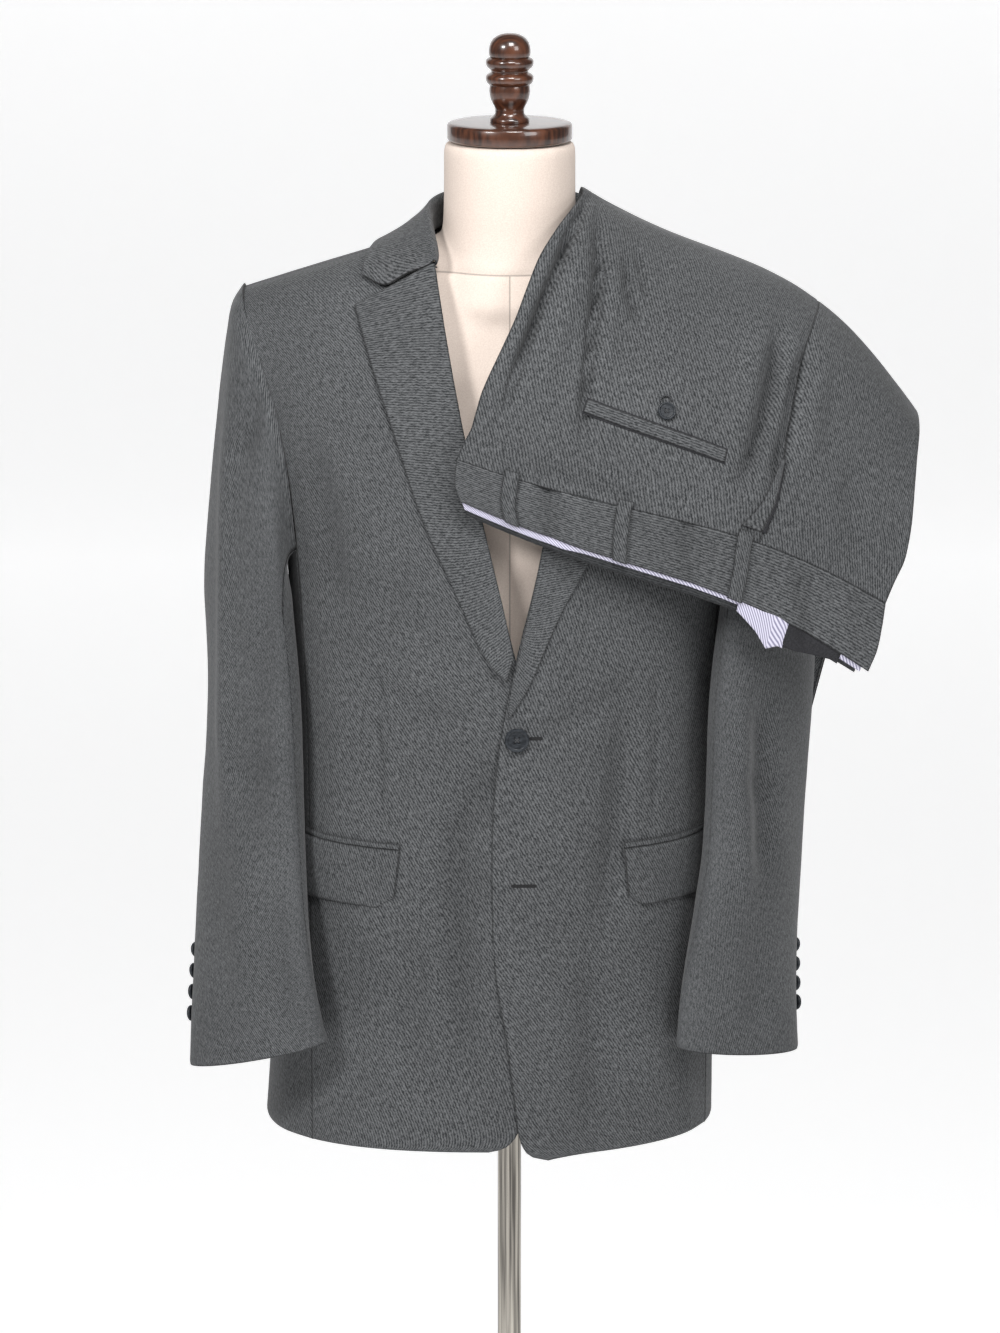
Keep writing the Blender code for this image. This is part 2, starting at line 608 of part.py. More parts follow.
def seam_angles(start, end):
    """The angles of a sleeve piece's columns: those of the armhole's own corners between its two seams."""
    front = [FRONT_ARM_DEGREES * i / len(SHOULDER_ROWS) for i in range(len(SHOULDER_ROWS) + 1)]
    under = [mix(FRONT_ARM_DEGREES, BACK_ARM_DEGREES, i / 6) for i in range(1, 6)]
    back = [mix(BACK_ARM_DEGREES, 360.0, i / len(SHOULDER_ROWS)) for i in range(len(SHOULDER_ROWS))]
    around = front + under + back
    return [a for a in [b - 360 for b in around] + around if start <= a <= end]


def make_sleeve(table, side, word):
    gap = 0.25
    pieces = (
        ("top_sleeve", SLEEVE_BACK_SEAM - 360.0, SLEEVE_FRONT_SEAM),
        ("under_sleeve", SLEEVE_FRONT_SEAM, SLEEVE_BACK_SEAM),
    )
    for piece, start, end in pieces:
        angles = seam_angles(start, end)
        angles[0] += gap
        angles[-1] -= gap

        def surface(u, v):
            return sleeve_point(table, side, at_rows(angles, u), v)

        cloth(
            f"{piece}_{word}", surface, len(angles) - 1, HEAD_ROWS + ARM_ROWS, SLEEVE_CLOTH, WOOL,
            (side * 0.225, -0.03, 1.10),
        )


# Pockets and buttons

def around_point(side, start_x, run, z):
    """A point of the body's front and side, a run of metres from the line x = start_x."""
    middle = smooth(TORSO, "z", "middle", z)
    half = smooth(TORSO, "z", "half", z)
    start = math.asin(min(abs(start_x - middle) / half, 1.0) ** (SECTION_POWER / 2))
    turn = start + run / math.hypot(half, smooth(TORSO, "z", "front", z)) * 1.41
    x = middle + side * half * math.sin(turn) ** (2 / SECTION_POWER)
    out = smooth(TORSO, "z", "front", z) * abs(math.cos(turn)) ** (2 / SECTION_POWER)
    return Vector((x, -out, z))


def make_pockets():
    inside = (0.0, 0.0, 1.0)
    for side, word in ((1, "left"), (-1, "right")):
        start_x = POCKET_FRONT_X[side]

        def flap(u, v):
            lean = 0.006 * (1 - v) * (1 - u)
            corner = 0.008 * max(0.0, 1 - v / 0.2) ** 2 * max(0.0, 1 - u / 0.12)
            z = mix(POCKET_Z - FLAP_HIGH, POCKET_Z - LAY_GAP, v) + corner
            return around_point(side, start_x, u * FLAP_LONG + lean, z)

        def jet(u, v):
            z = mix(POCKET_Z, POCKET_Z + JET_HIGH, v)
            return around_point(side, start_x, u * FLAP_LONG, z)

        cloth(f"flap_{word}", flap, 8, 5, 0.0018, WOOL, inside, lift=0.0018 + LAY_GAP)
        cloth(f"jet_{word}", jet, 8, 1, 0.0012, WOOL, inside, lift=0.0012 + LAY_GAP)


def button_profile(radius, thick):
    """A turned button: rim, dish and flat back."""
    return [
        (0.0, thick * 0.62), (radius * 0.66, thick * 0.62), (radius * 0.78, thick),
        (radius * 0.90, thick * 0.95), (radius, thick * 0.5), (radius * 0.90, 0.0), (0.0, 0.0),
    ]


def make_buttons():
    x, z = TOP_BUTTON_AT
    y = depth(x, z, -1) - overlap_lift(x, z) - LAY_GAP
    turned("button_top", button_profile(FRONT_BUTTON, 0.0034), 20, HORN, (x, y, z), (0, -1, 0))
    x, z = LOWER_BUTTON_AT
    y = depth(x, z, -1) - LAY_GAP
    turned("button_lower", button_profile(FRONT_BUTTON, 0.0022), 16, HORN, (x, y, z), (0, -1, 0))
    for table, side, word in ((LEFT_SLEEVE, 1, "left"), (RIGHT_SLEEVE, -1, "right")):
        for i in range(4):
            z = table[-1].z + 0.034 + i * 0.0152
            angle = 274.0
            here = ring_point(table, side, angle, z)
            along = ring_point(table, side, angle + 2, z) - here
            up = ring_point(table, side, angle, z + 0.01) - here
            out = along.cross(up).normalized()
            if out.dot(Vector((side, 0.5, 0))) < 0:
                out = -out
            place = here + out * 0.0008
            name = f"cuff_button_{word}_{i + 1}"
            turned(name, button_profile(CUFF_BUTTON, 0.0026), 12, HORN, place, out)


# Trousers

def trouser_point(u, along):
    """The trousers' outer surface: across from seat seam to fly, along from the waist over the shoulder."""
    def read(column):
        return smooth(TROUSERS, "along", column, along)

    crest = read("crest") * math.sin(math.pi * u**CREST_PLACE)
    x = mix(read("left_x"), read("right_x"), u)
    z = mix(read("left_z"), read("right_z"), u) + crest - TROUSER_SETTLE
    places = [read("y0"), read("y1"), read("y2"), read("y3")]
    third = u * 3
    i = min(int(third), 2)
    t = third - i
    before = places[i - 1] if i > 0 else 2 * places[0] - places[1]
    after = places[i + 2] if i < 2 else 2 * places[3] - places[2]
    y = 0.5 * (
        2 * places[i]
        + (places[i + 1] - before) * t
        + (2 * before - 5 * places[i] + 4 * places[i + 1] - after) * t**2
        + (3 * places[i] - before - 3 * places[i + 1] + after) * t**3
    )
    return Vector((x, y, z))


def strip(u0, u1, v0, v1):
    def surface(u, v):
        return trouser_point(mix(u0, u1, u), mix(v0, v1, v))

    return surface


def leg(columns):
    """The trousers' surface from the waistband over the shoulder to the hems, between the given columns."""
    def surface(u, v):
        return trouser_point(at_rows(columns, u), at_rows(TROUSER_ROWS, v))

    return surface


def leg_columns(start, end, count, gap_start=0.0, gap_end=0.0):
    columns = [mix(start, end, i / count) for i in range(count + 1)]
    columns[0] += gap_start
    columns[-1] -= gap_end
    return columns


def make_trousers():
    inside = (0.15, 0.0, 1.1)
    gap = 0.0006
    rows = len(TROUSER_ROWS) - 1
    back = leg_columns(0.0, SIDE_SEAM, BACK_COLUMNS, gap_end=gap)
    front = leg_columns(SIDE_SEAM, 1.0, FRONT_COLUMNS, gap_start=gap)
    under = leg_columns(0.0, SIDE_SEAM, BACK_COLUMNS, gap_start=0.004)
    under += leg_columns(SIDE_SEAM, 1.0, FRONT_COLUMNS, gap_end=0.004)[1:]
    cloth("trouser_back_left", leg(back), BACK_COLUMNS, rows, TROUSER_CLOTH, WOOL, inside)
    cloth("trouser_front_left", leg(front), FRONT_COLUMNS, rows, TROUSER_CLOTH, WOOL, inside)
    cloth(
        "trouser_under_layers", leg(under), len(under) - 1, rows, UNDER_END - UNDER_START, WOOL, inside,
        lift=-UNDER_START, grooves=3,
    )
    cloth("waistband_left", strip(0.0, 1.0, 0.0, BAND_TOP), 14, 3, WAISTBAND_CLOTH, WOOL, inside)
    lining = strip(0.004, 0.985, -0.032, BAND_TOP)
    cloth("waist_lining", lining, 14, 3, LINING_CLOTH, LINING, inside, lift=-WAISTBAND_CLOTH - LAY_GAP)
    cloth(
        "waistband_right", strip(0.004, 0.985, -0.040, BAND_TOP), 14, 3, WAISTBAND_CLOTH - 0.0003, WOOL, inside,
        lift=-WAISTBAND_CLOTH - LINING_CLOTH - 2 * LAY_GAP,
    )
    for i, place in enumerate(LOOP_PLACES):
        loop = strip(place - LOOP_WIDE / 2, place + LOOP_WIDE / 2, -0.004, 0.175)
        cloth(f"belt_loop_{i + 1}", loop, 2, 5, 0.0016, WOOL, inside, lift=0.0016 + LAY_GAP)


def welt(u, v):
    return trouser_point(mix(0.228, 0.564, u), mix(0.530, 0.440, u) - 0.048 * (1 - v))


def slant(u, v):
    along = mix(BAND_TOP + 0.036, 0.460, v)
    return trouser_point(mix(mix(0.650, 0.690, v**0.7), 0.697, u), along)


def make_trouser_pockets():
    inside = (0.15, 0.0, 1.1)
    cloth("back_pocket_welt", welt, 8, 2, 0.0014, WOOL, inside, lift=0.0014 + LAY_GAP)
    cloth("slant_pocket_facing", slant, 2, 6, 0.0010, WOOL, inside, lift=0.0010 + LAY_GAP)
    here = trouser_point(0.410, 0.536)
    out = normal_at(strip(0.0, 1.0, 0.0, 2.0), 0.410, 0.268)
    out = out if out.y < 0 else -out
    turned("back_pocket_button", button_profile(0.0079, 0.0026), 20, HORN, here + out * 0.0006, out)


# Dress form

def form_torso():
    """The padded torso and its neck: rings up to the chest, then over to the ridge of the shoulders."""
    around = 36
    lower = [FORM_BOTTOM_Z + 0.0, FORM_BOTTOM_Z + 0.006, 0.87, 0.95, 1.03, 1.11, 1.18, CHEST_Z]
    drop = JACKET_CLOTH + FORM_TOP_GAP
    rings = []
    for level in list(lower) + [15, 30, 45, 60, 72, 83]:
        ring = []
        for i in range(around):
            turn = 2 * math.pi * i / around
            sine, cosine = math.sin(turn), math.cos(turn)
            wide = math.copysign(abs(sine) ** (2 / SECTION_POWER), sine)
            deep = abs(cosine) ** (2 / SECTION_POWER)
            column = "front" if cosine > 0 else "back"
            facing = -1 if cosine > 0 else 1
            if level < 2:
                shrink = 0.96 if level == FORM_BOTTOM_Z else 1.0
                x = smooth(FORM, "z", "half", level) * wide * shrink
                ring.append(Vector((x, facing * smooth(FORM, "z", column, level) * deep * shrink, level)))
                continue
            rise = math.sin(math.radians(level)) ** (2 / CROWN_POWER)
            fall = math.cos(math.radians(level)) ** (2 / CROWN_POWER)
            x = wide * mix(smooth(FORM, "z", "half", CHEST_Z), 0.185, rise)
            z = CHEST_Z + (ridge_z(x) - drop - CHEST_Z) * rise
            y = facing * smooth(FORM, "z", column, z) * deep
            ring.append(Vector((x, RIDGE_Y + (y - RIDGE_Y) * fall, z)))
        rings.append(ring)
    bm = bmesh.new()
    loops = [[bm.verts.new(point) for point in ring] for ring in rings]
    for below, above in zip(loops, loops[1:]):
        for i in range(around):
            bm.faces.new((below[i], below[(i + 1) % around], above[(i + 1) % around], above[i]))
    bm.faces.new(loops[0])
    half = around // 2
    top = loops[-1]
    quarter = around // 4
    for i in range(quarter - 1, -quarter - 1, -1):
        a, b = top[i % around], top[(i + 1) % around]
        c, d = top[(half - i - 1) % around], top[(half - i) % around]
        corners = []
        for vert in (a, b, c, d):
            if vert not in corners:
                corners.append(vert)
        if len(corners) > 2:
            bm.faces.new(corners)
    torso = finish("form_torso", bm, COVER)
    neck = turned("neck_of_form", [
        (0.0, CAP_BOTTOM_Z - 0.0004), (NECK_RADIUS, CAP_BOTTOM_Z - 0.0004), (NECK_RADIUS, 1.535),
        (NECK_RADIUS + 0.0010, 1.508), (NECK_RADIUS + 0.004, 1.490), (NECK_RADIUS + 0.014, 1.468),
        (NECK_RADIUS + 0.026, 1.448), (NECK_RADIUS + 0.022, 1.425), (0.0, 1.400),
    ], 32, COVER)
    cutter = bpy.data.meshes.new_from_object(neck.evaluated_get(bpy.context.evaluated_depsgraph_get()))
    bpy.data.objects.remove(neck)
    neck = bpy.data.objects.new("neck_of_form", cutter)
    HELPERS.objects.link(neck)
    neck.hide_render = True
    neck.display_type = "WIRE"
    union = torso.modifiers.new("Neck", "BOOLEAN")
    union.operation = "UNION"
    union.solver = "EXACT"
    union.object = neck


def make_form():
    form_torso()
    turned("neck_cap", [
        (0.0, CAP_TOP_Z), (CAP_RADIUS - 0.0015, CAP_TOP_Z), (CAP_RADIUS, CAP_TOP_Z - 0.0015),
        (CAP_RADIUS, CAP_BOTTOM_Z + 0.0015), (CAP_RADIUS - 0.0015, CAP_BOTTOM_Z), (0.0, CAP_BOTTOM_Z),
    ], 32, WOOD)
    turned("finial", [
        (0.0, 1.6770), (0.0080, 1.6762), (0.0140, 1.6725), (0.0176, 1.6660), (0.0180, 1.6590),
        (0.0168, 1.6562), (0.0200, 1.6545), (0.0207, 1.6515), (0.0195, 1.6480), (0.0164, 1.6450),
        (0.0164, 1.6430), (0.0198, 1.6410), (0.0207, 1.6380), (0.0198, 1.6345), (0.0172, 1.6320),
        (0.0177, 1.6270), (0.0165, 1.6200), (0.0135, 1.6140), (0.0126, 1.6105), (0.0130, 1.6070),
        (0.0168, 1.6035), (0.0170, 1.6003), (0.0, 1.6003),
    ], 20, WOOD)
    flange_top = FORM_BOTTOM_Z - 0.0003
    turned("pole_flange", [
        (0.0, flange_top), (0.034, flange_top), (0.036, flange_top - 0.002), (0.036, flange_top - 0.006),
        (0.018, flange_top - 0.012), (0.016, flange_top - 0.030), (0.0, flange_top - 0.030),
    ], 20, STEEL)
    turned("pole", [
        (0.0, flange_top - 0.0303), (POLE_RADIUS, flange_top - 0.0303), (POLE_RADIUS, BASE_THICK + 0.0003),
        (0.0, BASE_THICK + 0.0003),
    ], 20, STEEL)
    turned("base", [
        (0.0, BASE_THICK), (0.030, BASE_THICK), (BASE_RADIUS - 0.012, BASE_THICK * 0.75),
        (BASE_RADIUS - 0.003, BASE_THICK * 0.5), (BASE_RADIUS, BASE_THICK * 0.2), (BASE_RADIUS - 0.0015, 0.0),
        (0.0, 0.0),
    ], 32, STEEL)


make_body()
make_lapels()
make_collar()
make_sleeve(LEFT_SLEEVE, 1, "left")
make_sleeve(RIGHT_SLEEVE, -1, "right")
make_pockets()
make_buttons()
make_trousers()
make_trouser_pockets()
make_form()
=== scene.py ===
import math
from collections import namedtuple

import bmesh
import bpy
import numpy as np
from mathutils import Matrix, Vector, noise
from mathutils.bvhtree import BVHTree


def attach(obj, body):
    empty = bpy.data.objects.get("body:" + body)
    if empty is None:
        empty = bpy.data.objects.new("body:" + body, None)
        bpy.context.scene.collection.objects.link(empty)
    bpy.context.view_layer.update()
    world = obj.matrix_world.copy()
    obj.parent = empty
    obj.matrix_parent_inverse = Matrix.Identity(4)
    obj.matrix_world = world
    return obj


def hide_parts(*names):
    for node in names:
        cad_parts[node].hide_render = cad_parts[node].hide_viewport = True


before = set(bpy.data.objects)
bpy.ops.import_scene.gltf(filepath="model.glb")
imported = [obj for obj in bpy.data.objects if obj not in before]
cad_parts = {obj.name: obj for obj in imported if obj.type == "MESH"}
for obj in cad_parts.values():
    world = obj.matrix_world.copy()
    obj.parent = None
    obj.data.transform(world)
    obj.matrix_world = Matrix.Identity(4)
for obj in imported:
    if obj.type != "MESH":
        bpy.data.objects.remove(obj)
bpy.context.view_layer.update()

MM = 0.001


# The camera stands six metres in front of the suit and looks down on it by twelve degrees. Its long
# lens takes in the form and the suit, from the finial to the pole below the hem.
CAMERA_PLACE = (-0.0084, -5.8689, 2.3655)
LOOK_DOWN = 12
LENS = 184.1
camera = bpy.data.objects.new("camera", bpy.data.cameras.new("camera"))
camera.data.sensor_fit = "VERTICAL"
camera.data.sensor_height = 36.0
camera.data.lens = LENS
camera.location = CAMERA_PLACE
camera.rotation_euler = (math.radians(90 - LOOK_DOWN), 0, 0)
bpy.context.scene.collection.objects.link(camera)
bpy.context.scene.camera = camera
bpy.context.scene.view_settings.view_transform = "Standard"


# The studio: a white paper sweep that runs from the floor up behind the stand, two wide soft
# lamps in front, one above, and an even white room.
def plain_material(name, colour, roughness, metallic=0.0, more=None):
    """A material of one colour; more gives other inputs of its shader by their names."""
    material = bpy.data.materials.new(name)
    material.use_nodes = True
    shader = material.node_tree.nodes["Principled BSDF"]
    shader.inputs["Base Color"].default_value = (*colour, 1.0)
    shader.inputs["Roughness"].default_value = roughness
    shader.inputs["Metallic"].default_value = metallic
    for socket, value in (more or {}).items():
        shader.inputs[socket].default_value = value
    return material


def object_of(name, bm, materials):
    """A smooth-shaded object of a finished bmesh."""
    mesh = bpy.data.meshes.new(name)
    bm.to_mesh(mesh)
    bm.free()
    for material in materials:
        mesh.materials.append(material)
    for polygon in mesh.polygons:
        polygon.use_smooth = True
    obj = bpy.data.objects.new(name, mesh)
    bpy.context.scene.collection.objects.link(obj)
    return obj


SWEEP_HALF = 7.0
SWEEP_FRONT = -9.0
SWEEP_BACK = 6.2
SWEEP_ROUND = 1.2
SWEEP_TOP = 7.0
SWEEP_STEPS = 12
PAPER_GLOW = 0.49
bm = bmesh.new()
line = [(SWEEP_FRONT, 0.0), (SWEEP_BACK, 0.0)]
for i in range(1, SWEEP_STEPS + 1):
    turn = math.radians(90 * i / SWEEP_STEPS)
    line.append((SWEEP_BACK + SWEEP_ROUND * math.sin(turn), SWEEP_ROUND * (1 - math.cos(turn))))
line.append((SWEEP_BACK + SWEEP_ROUND, SWEEP_TOP))
verts = [bm.verts.new((-SWEEP_HALF, y, z)) for y, z in line]
edges = [bm.edges.new(pair) for pair in zip(verts, verts[1:])]
swept = bmesh.ops.extrude_edge_only(bm, edges=edges)["geom"]
moved = [item for item in swept if isinstance(item, bmesh.types.BMVert)]
bmesh.ops.translate(bm, verts=moved, vec=(2 * SWEEP_HALF, 0, 0))
PAPER = plain_material("white_paper", (0.90, 0.90, 0.905), 0.9, more={
    "Emission Color": (1.0, 1.0, 1.0, 1.0), "Emission Strength": PAPER_GLOW})
object_of("paper_sweep", bm, [PAPER])

Lamp = namedtuple("Lamp", "name place size power")
LAMPS_AIM = Vector((0, 0, 1.35))
ROOM_LIGHT = 0.135
LAMPS = [
    Lamp("key_lamp", (-2.2, -2.6, 3.4), 0.8, 96),
    Lamp("fill_lamp", (2.3, -2.8, 2.9), 1.5, 43),
    Lamp("top_lamp", (0.3, -1.5, 3.4), 0.9, 44),
]
for lamp in LAMPS:
    light = bpy.data.lights.new(lamp.name, "AREA")
    light.size = lamp.size
    light.energy = lamp.power
    obj = bpy.data.objects.new(lamp.name, light)
    obj.location = lamp.place
    obj.rotation_euler = (LAMPS_AIM - obj.location).to_track_quat("-Z", "Y").to_euler()
    bpy.context.scene.collection.objects.link(obj)
world = bpy.data.worlds.new("white_room")
world.use_nodes = True
world.node_tree.nodes["Background"].inputs["Color"].default_value = (1.0, 1.0, 1.0, 1.0)
world.node_tree.nodes["Background"].inputs["Strength"].default_value = ROOM_LIGHT
bpy.context.scene.world = world


# The jacket's fronts: one piece of worsted each, from the hem over the chest to the shoulder seam.
# The cloth is a thin shell on the solid's own form, finer than the solid, with soft troughs pressed
# in where the cloth falls, a dart from the pocket to the chest and edges that roll in at the seams.
Fold = namedtuple("Fold", "line deep wide view", defaults=("front",))
FOLD_GAIN = 2.1
FOLD_FADE = 4
EDGE_ROLL = 1.5 * MM
RIPPLE_FADE = 12 * MM
# The width in mm of the painted shade along the seams.
SEAM_SHADE_WIDTH = 1.5


def wall_grid(node, columns, rows, thick, corner, inside, fine_edge=False):
    """The points of a CAD wall's outer face, rows of columns from the corner nearest to a point."""
    bm = bmesh.new()
    bm.from_mesh(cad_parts[node].data)
    bmesh.ops.remove_doubles(bm, verts=bm.verts, dist=0.01 * MM)
    # The rim's edges are as long as the wall is thick, and without their faces two skins are left.
    low, high = (0.97, 1.03) if fine_edge else (0.0, 1.2)
    rim = {face for edge in bm.edges if low < edge.calc_length() / thick < high for face in edge.link_faces}
    bmesh.ops.delete(bm, geom=list(rim), context="FACES")
    bm.normal_update()
    # The outer skin is the one whose faces look furthest away from the inside.
    best = (-math.inf, None)
    left = set(bm.faces)
    while left:
        todo = [left.pop()]
        for face in todo:
            for edge in face.edges:
                for other in edge.link_faces:
                    if other in left:
                        left.discard(other)
                        todo.append(other)
        out = sum(f.calc_area() * f.normal.dot(f.calc_center_median() - Vector(inside)) for f in todo)
        if len(todo) > columns * rows and out > best[0]:
            best = (out, todo)
    outer = set(best[1])
    bmesh.ops.delete(bm, geom=[f for f in bm.faces if f not in outer], context="FACES")
    count = (columns + 1) * (rows + 1)
    if len(bm.verts) != count:
        raise ValueError(f"{node} has {len(bm.verts)} outer points, and its grid has {count}")
    # Its border is walked round, and the sharpest turns that lie as far apart as the grid says are
    # its corners.
    ring = [next(v for v in bm.verts if v.is_boundary)]
    while True:
        ahead = [e.other_vert(ring[-1]) for e in ring[-1].link_edges if e.is_boundary]
        ahead = [v for v in ahead if v not in ring[-2:]] if len(ring) > 1 else ahead
        if ahead[0] is ring[0]:
            break
        ring.append(ahead[0])
    n = len(ring)
    turn = [(ring[i].co - ring[i - 1].co).angle(ring[(i + 1) % n].co - ring[i].co) for i in range(n)]
    jumps = (0, columns, columns + rows, 2 * columns + rows)
    k = max(range(n), key=lambda start: sum(turn[(start + jump) % n] for jump in jumps))
    around = ring[k:] + ring[:k] + [ring[k]]
    near = min(range(4), key=lambda i: (around[jumps[i]].co - Vector(corner)).length)
    first_row = around[: columns + 1] if near in (0, 1) else around[jumps[2]: jumps[3] + 1]
    first_column = around[columns: columns + rows + 1] if near in (1, 2) else around[jumps[3]:]
    row_of, column_of = steps_from(first_row), steps_from(first_column)
    points = np.zeros((rows + 1, columns + 1, 3))
    for vert in bm.verts:
        points[row_of[vert], column_of[vert]] = vert.co
    # The hand is 1 where columns and rows turn as the outward side does, and -1 where they don't.
    middle = max(bm.faces, key=lambda f: f.calc_area())
    spot = min(bm.verts, key=lambda v: (v.co - middle.calc_center_median()).length)
    j, i = min(row_of[spot], rows - 1), min(column_of[spot], columns - 1)
    across = Vector(points[j, i + 1] - points[j, i])
    along = Vector(points[j + 1, i] - points[j, i])
    hand = 1.0 if across.cross(along).dot(middle.normal) > 0 else -1.0
    bm.free()
    return points, hand


def steps_from(start):
    """How many edges each vertex is from a line of vertices."""
    far = {vert: 0 for vert in start}
    todo = list(start)
    for vert in todo:
        for edge in vert.link_edges:
            other = edge.other_vert(vert)
            if other not in far:
                far[other] = far[vert] + 1
                todo.append(other)
    return far


def through(points, places, at):
    """A smooth curve through points at their places, read at other places."""
    slopes = np.gradient(points, places, axis=0)
    i = np.clip(np.searchsorted(places, at, side="right") - 1, 0, len(places) - 2)
    span = (places[i + 1] - places[i])[:, None, None]
    t = (at - places[i])[:, None, None] / span
    return (
        (2 * t**3 - 3 * t**2 + 1) * points[i]
        + (t**3 - 2 * t**2 + t) * span * slopes[i]
        + (3 * t**2 - 2 * t**3) * points[i + 1]
        + (t**3 - t**2) * span * slopes[i + 1]
    )


def spaced(low, high, step, near=0.0, near_step=1.0):
    """Places between two lengths, a step apart and closer at both ends, for the roll of the edges.

    Up to a length near the start they are a smaller step apart, where the cloth has sharp creases.
    """
    close = np.array([0.0, 0.8, 1.8, 3.2]) * MM
    if high - low < 0.012:
        return np.linspace(low, high, 7)
    start, end = low + 5 * MM, high - 5 * MM
    first = np.zeros(0)
    if near:
        turn = min(low + near, end - step)
        first = np.linspace(start, turn, round((turn - start) / near_step), endpoint=False)
        start = turn
    rest = np.linspace(start, end, max(2, round((end - start) / step)))
    return np.concatenate([low + close, first, rest, high - close[::-1]])


def dent(points, normals, folds):
    """How far the folds push the cloth out, or in where their depth is below nothing, and how far
    the cloth lies in the shade of a fold."""
    push = np.zeros(points.shape[:2])
    shade = np.zeros(points.shape[:2])
    for fold in folds:
        flat = points[..., [0, 2]] if fold.view in ("front", "back") else points[..., [1, 2]]
        line = np.array(fold.line, float)
        lengths = np.linalg.norm(np.diff(line, axis=0), axis=1)
        start = np.concatenate([[0.0], np.cumsum(lengths)])
        near = np.full(push.shape, np.inf)
        along = np.zeros(push.shape)
        for a, b, begun, length in zip(line, line[1:], start, lengths):
            t = np.clip(((flat - a) * (b - a)).sum(-1) / length**2, 0, 1)
            far = np.linalg.norm(flat - (a + t[..., None] * (b - a)), axis=-1)
            closer = far < near
            near = np.where(closer, far, near)
            along = np.where(closer, (begun + t * length) / start[-1], along)
        facing = {"front": -normals[..., 1], "back": normals[..., 1],
                  "left": normals[..., 0], "right": -normals[..., 0]}[fold.view]
        seen = np.clip(facing * 3, 0, 1)
        fade = np.clip(np.minimum(along, 1 - along) * FOLD_FADE + 0.12, 0, 1)
        soft = np.exp(-((near / (fold.wide * MM)) ** 2)) * fade * seen
        push += fold.deep * FOLD_GAIN * MM * soft
        steep = -fold.deep * FOLD_GAIN / (1.6 * fold.wide)
        shade += soft ** 1.5 * min(max(steep, 0.0), 1.0)
    return push, np.clip(shade, 0, 1)


def sew(name, node, grid, thick, corner, inside=(0, 0, 1.1), step=4.5, folds=(), twill=0.0,
        roll=0.7, wave=0.5, held="hung", rests_on=("form_torso",), material=None, slot="grey_worsted",
        carries=(), carried=False, fine_edge=False, reach=(0.3, 0.3, 0.3, 0.3), lift=0.0,
        shell=None, near=(0.0, 1.0, 0.0, 1.0), hang=(), shadow=SEAM_SHADE_WIDTH):
    """A piece of cloth on the outer face of a CAD wall. Depths, widths, step, roll and wave are in mm.

    Reach is how far it passes the wall at the first and last column and the first and last row, to close
    the seams, and lift how far it stands off. The cloth is as thick as the wall unless shell says how thick.
    Near gives a width and a length of finer mesh and their steps. Hang lists how much lower the first row
    hangs at places along it, and shadow is the width of the painted shade along the edges.
    """
    points, hand = wall_grid(node, *grid, thick, corner, inside, fine_edge)
    u = np.concatenate([[0.0], np.cumsum(np.linalg.norm(np.diff(points, axis=1), axis=2).mean(0))])
    v = np.concatenate([[0.0], np.cumsum(np.linalg.norm(np.diff(points, axis=0), axis=2).mean(1))])
    at_u = spaced(-reach[0] * MM, u[-1] + reach[1] * MM, step * MM, near[0] * MM, near[1] * MM)
    at_v = spaced(-reach[2] * MM, v[-1] + reach[3] * MM, step * MM, near[2] * MM, near[3] * MM)
    fine = through(points, v, at_v)
    fine = through(fine.transpose(1, 0, 2), u, at_u).transpose(1, 0, 2)
    if hang:
        down = -np.gradient(fine, at_v, axis=0)
        down /= np.linalg.norm(down, axis=2, keepdims=True)
        places, drops = np.array(hang).T * MM
        drop = np.interp(at_u - at_u[0], places, drops)
        fine = fine + down * (drop * ((at_v[-1] - at_v) / (at_v[-1] - at_v[0]))[:, None])[..., None]
    normals = np.cross(np.gradient(fine, at_u, axis=1), np.gradient(fine, at_v, axis=0)) * hand
    normals /= np.maximum(np.linalg.norm(normals, axis=2, keepdims=True), 1e-12)
    edge_u = np.minimum(at_u - at_u[0], at_u[-1] - at_u)
    edge_v = np.minimum(at_v - at_v[0], at_v[-1] - at_v)
    edge = np.minimum(edge_u[None, :], edge_v[:, None])
    push, shade = dent(fine, normals, folds)
    push -= roll * MM * np.exp(-((edge / EDGE_ROLL) ** 2))
    ripple = np.array([[noise.noise(Vector(p) * 14) + 0.4 * noise.noise(Vector(p) * 37) for p in row]
                       for row in fine])
    push += ripple * wave * MM * np.clip(edge / RIPPLE_FADE, 0, 1)
    fine = fine + normals * (push[..., None] + lift * MM)
    bm = bmesh.new()
    bmesh.ops.create_grid(bm, x_segments=len(at_u) - 1, y_segments=len(at_v) - 1, size=1.0)
    if hand < 0:
        bmesh.ops.reverse_faces(bm, faces=bm.faces)
    cut = bm.loops.layers.uv.new("cut")
    rim = bm.loops.layers.uv.new("rim")
    turn = math.radians(twill)
    cosine, sine = math.cos(turn), math.sin(turn)
    place = {}
    for vert in bm.verts:
        i = round((vert.co.x + 1) / 2 * (len(at_u) - 1))
        j = round((vert.co.y + 1) / 2 * (len(at_v) - 1))
        x, y = at_u[i] * hand, at_v[j]
        on_cut = (x * cosine - y * sine, x * sine + y * cosine)
        # The rim map holds the distance from the edges, for the painted shade along the seams, and the
        # painted shade of the folds.
        place[vert] = on_cut, (edge[j, i] * SEAM_SHADE_WIDTH / shadow, shade[j, i])
        vert.co = fine[j, i]
    for face in bm.faces:
        for loop in face.loops:
            loop[cut].uv, loop[rim].uv = place[loop.vert]
    area = sum(face.calc_area() for face in bm.faces)
    obj = object_of(name, bm, [material or WORSTED])
    wall = obj.modifiers.new("Cloth", "SOLIDIFY")
    wall.thickness = shell * MM if shell else thick - 0.2 * MM
    wall.offset = -1.0
    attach(obj, "root")
    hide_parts(node)
    return obj


def link(tree, source, output, target, socket):
    tree.links.new(source.outputs[output], target.inputs[socket])


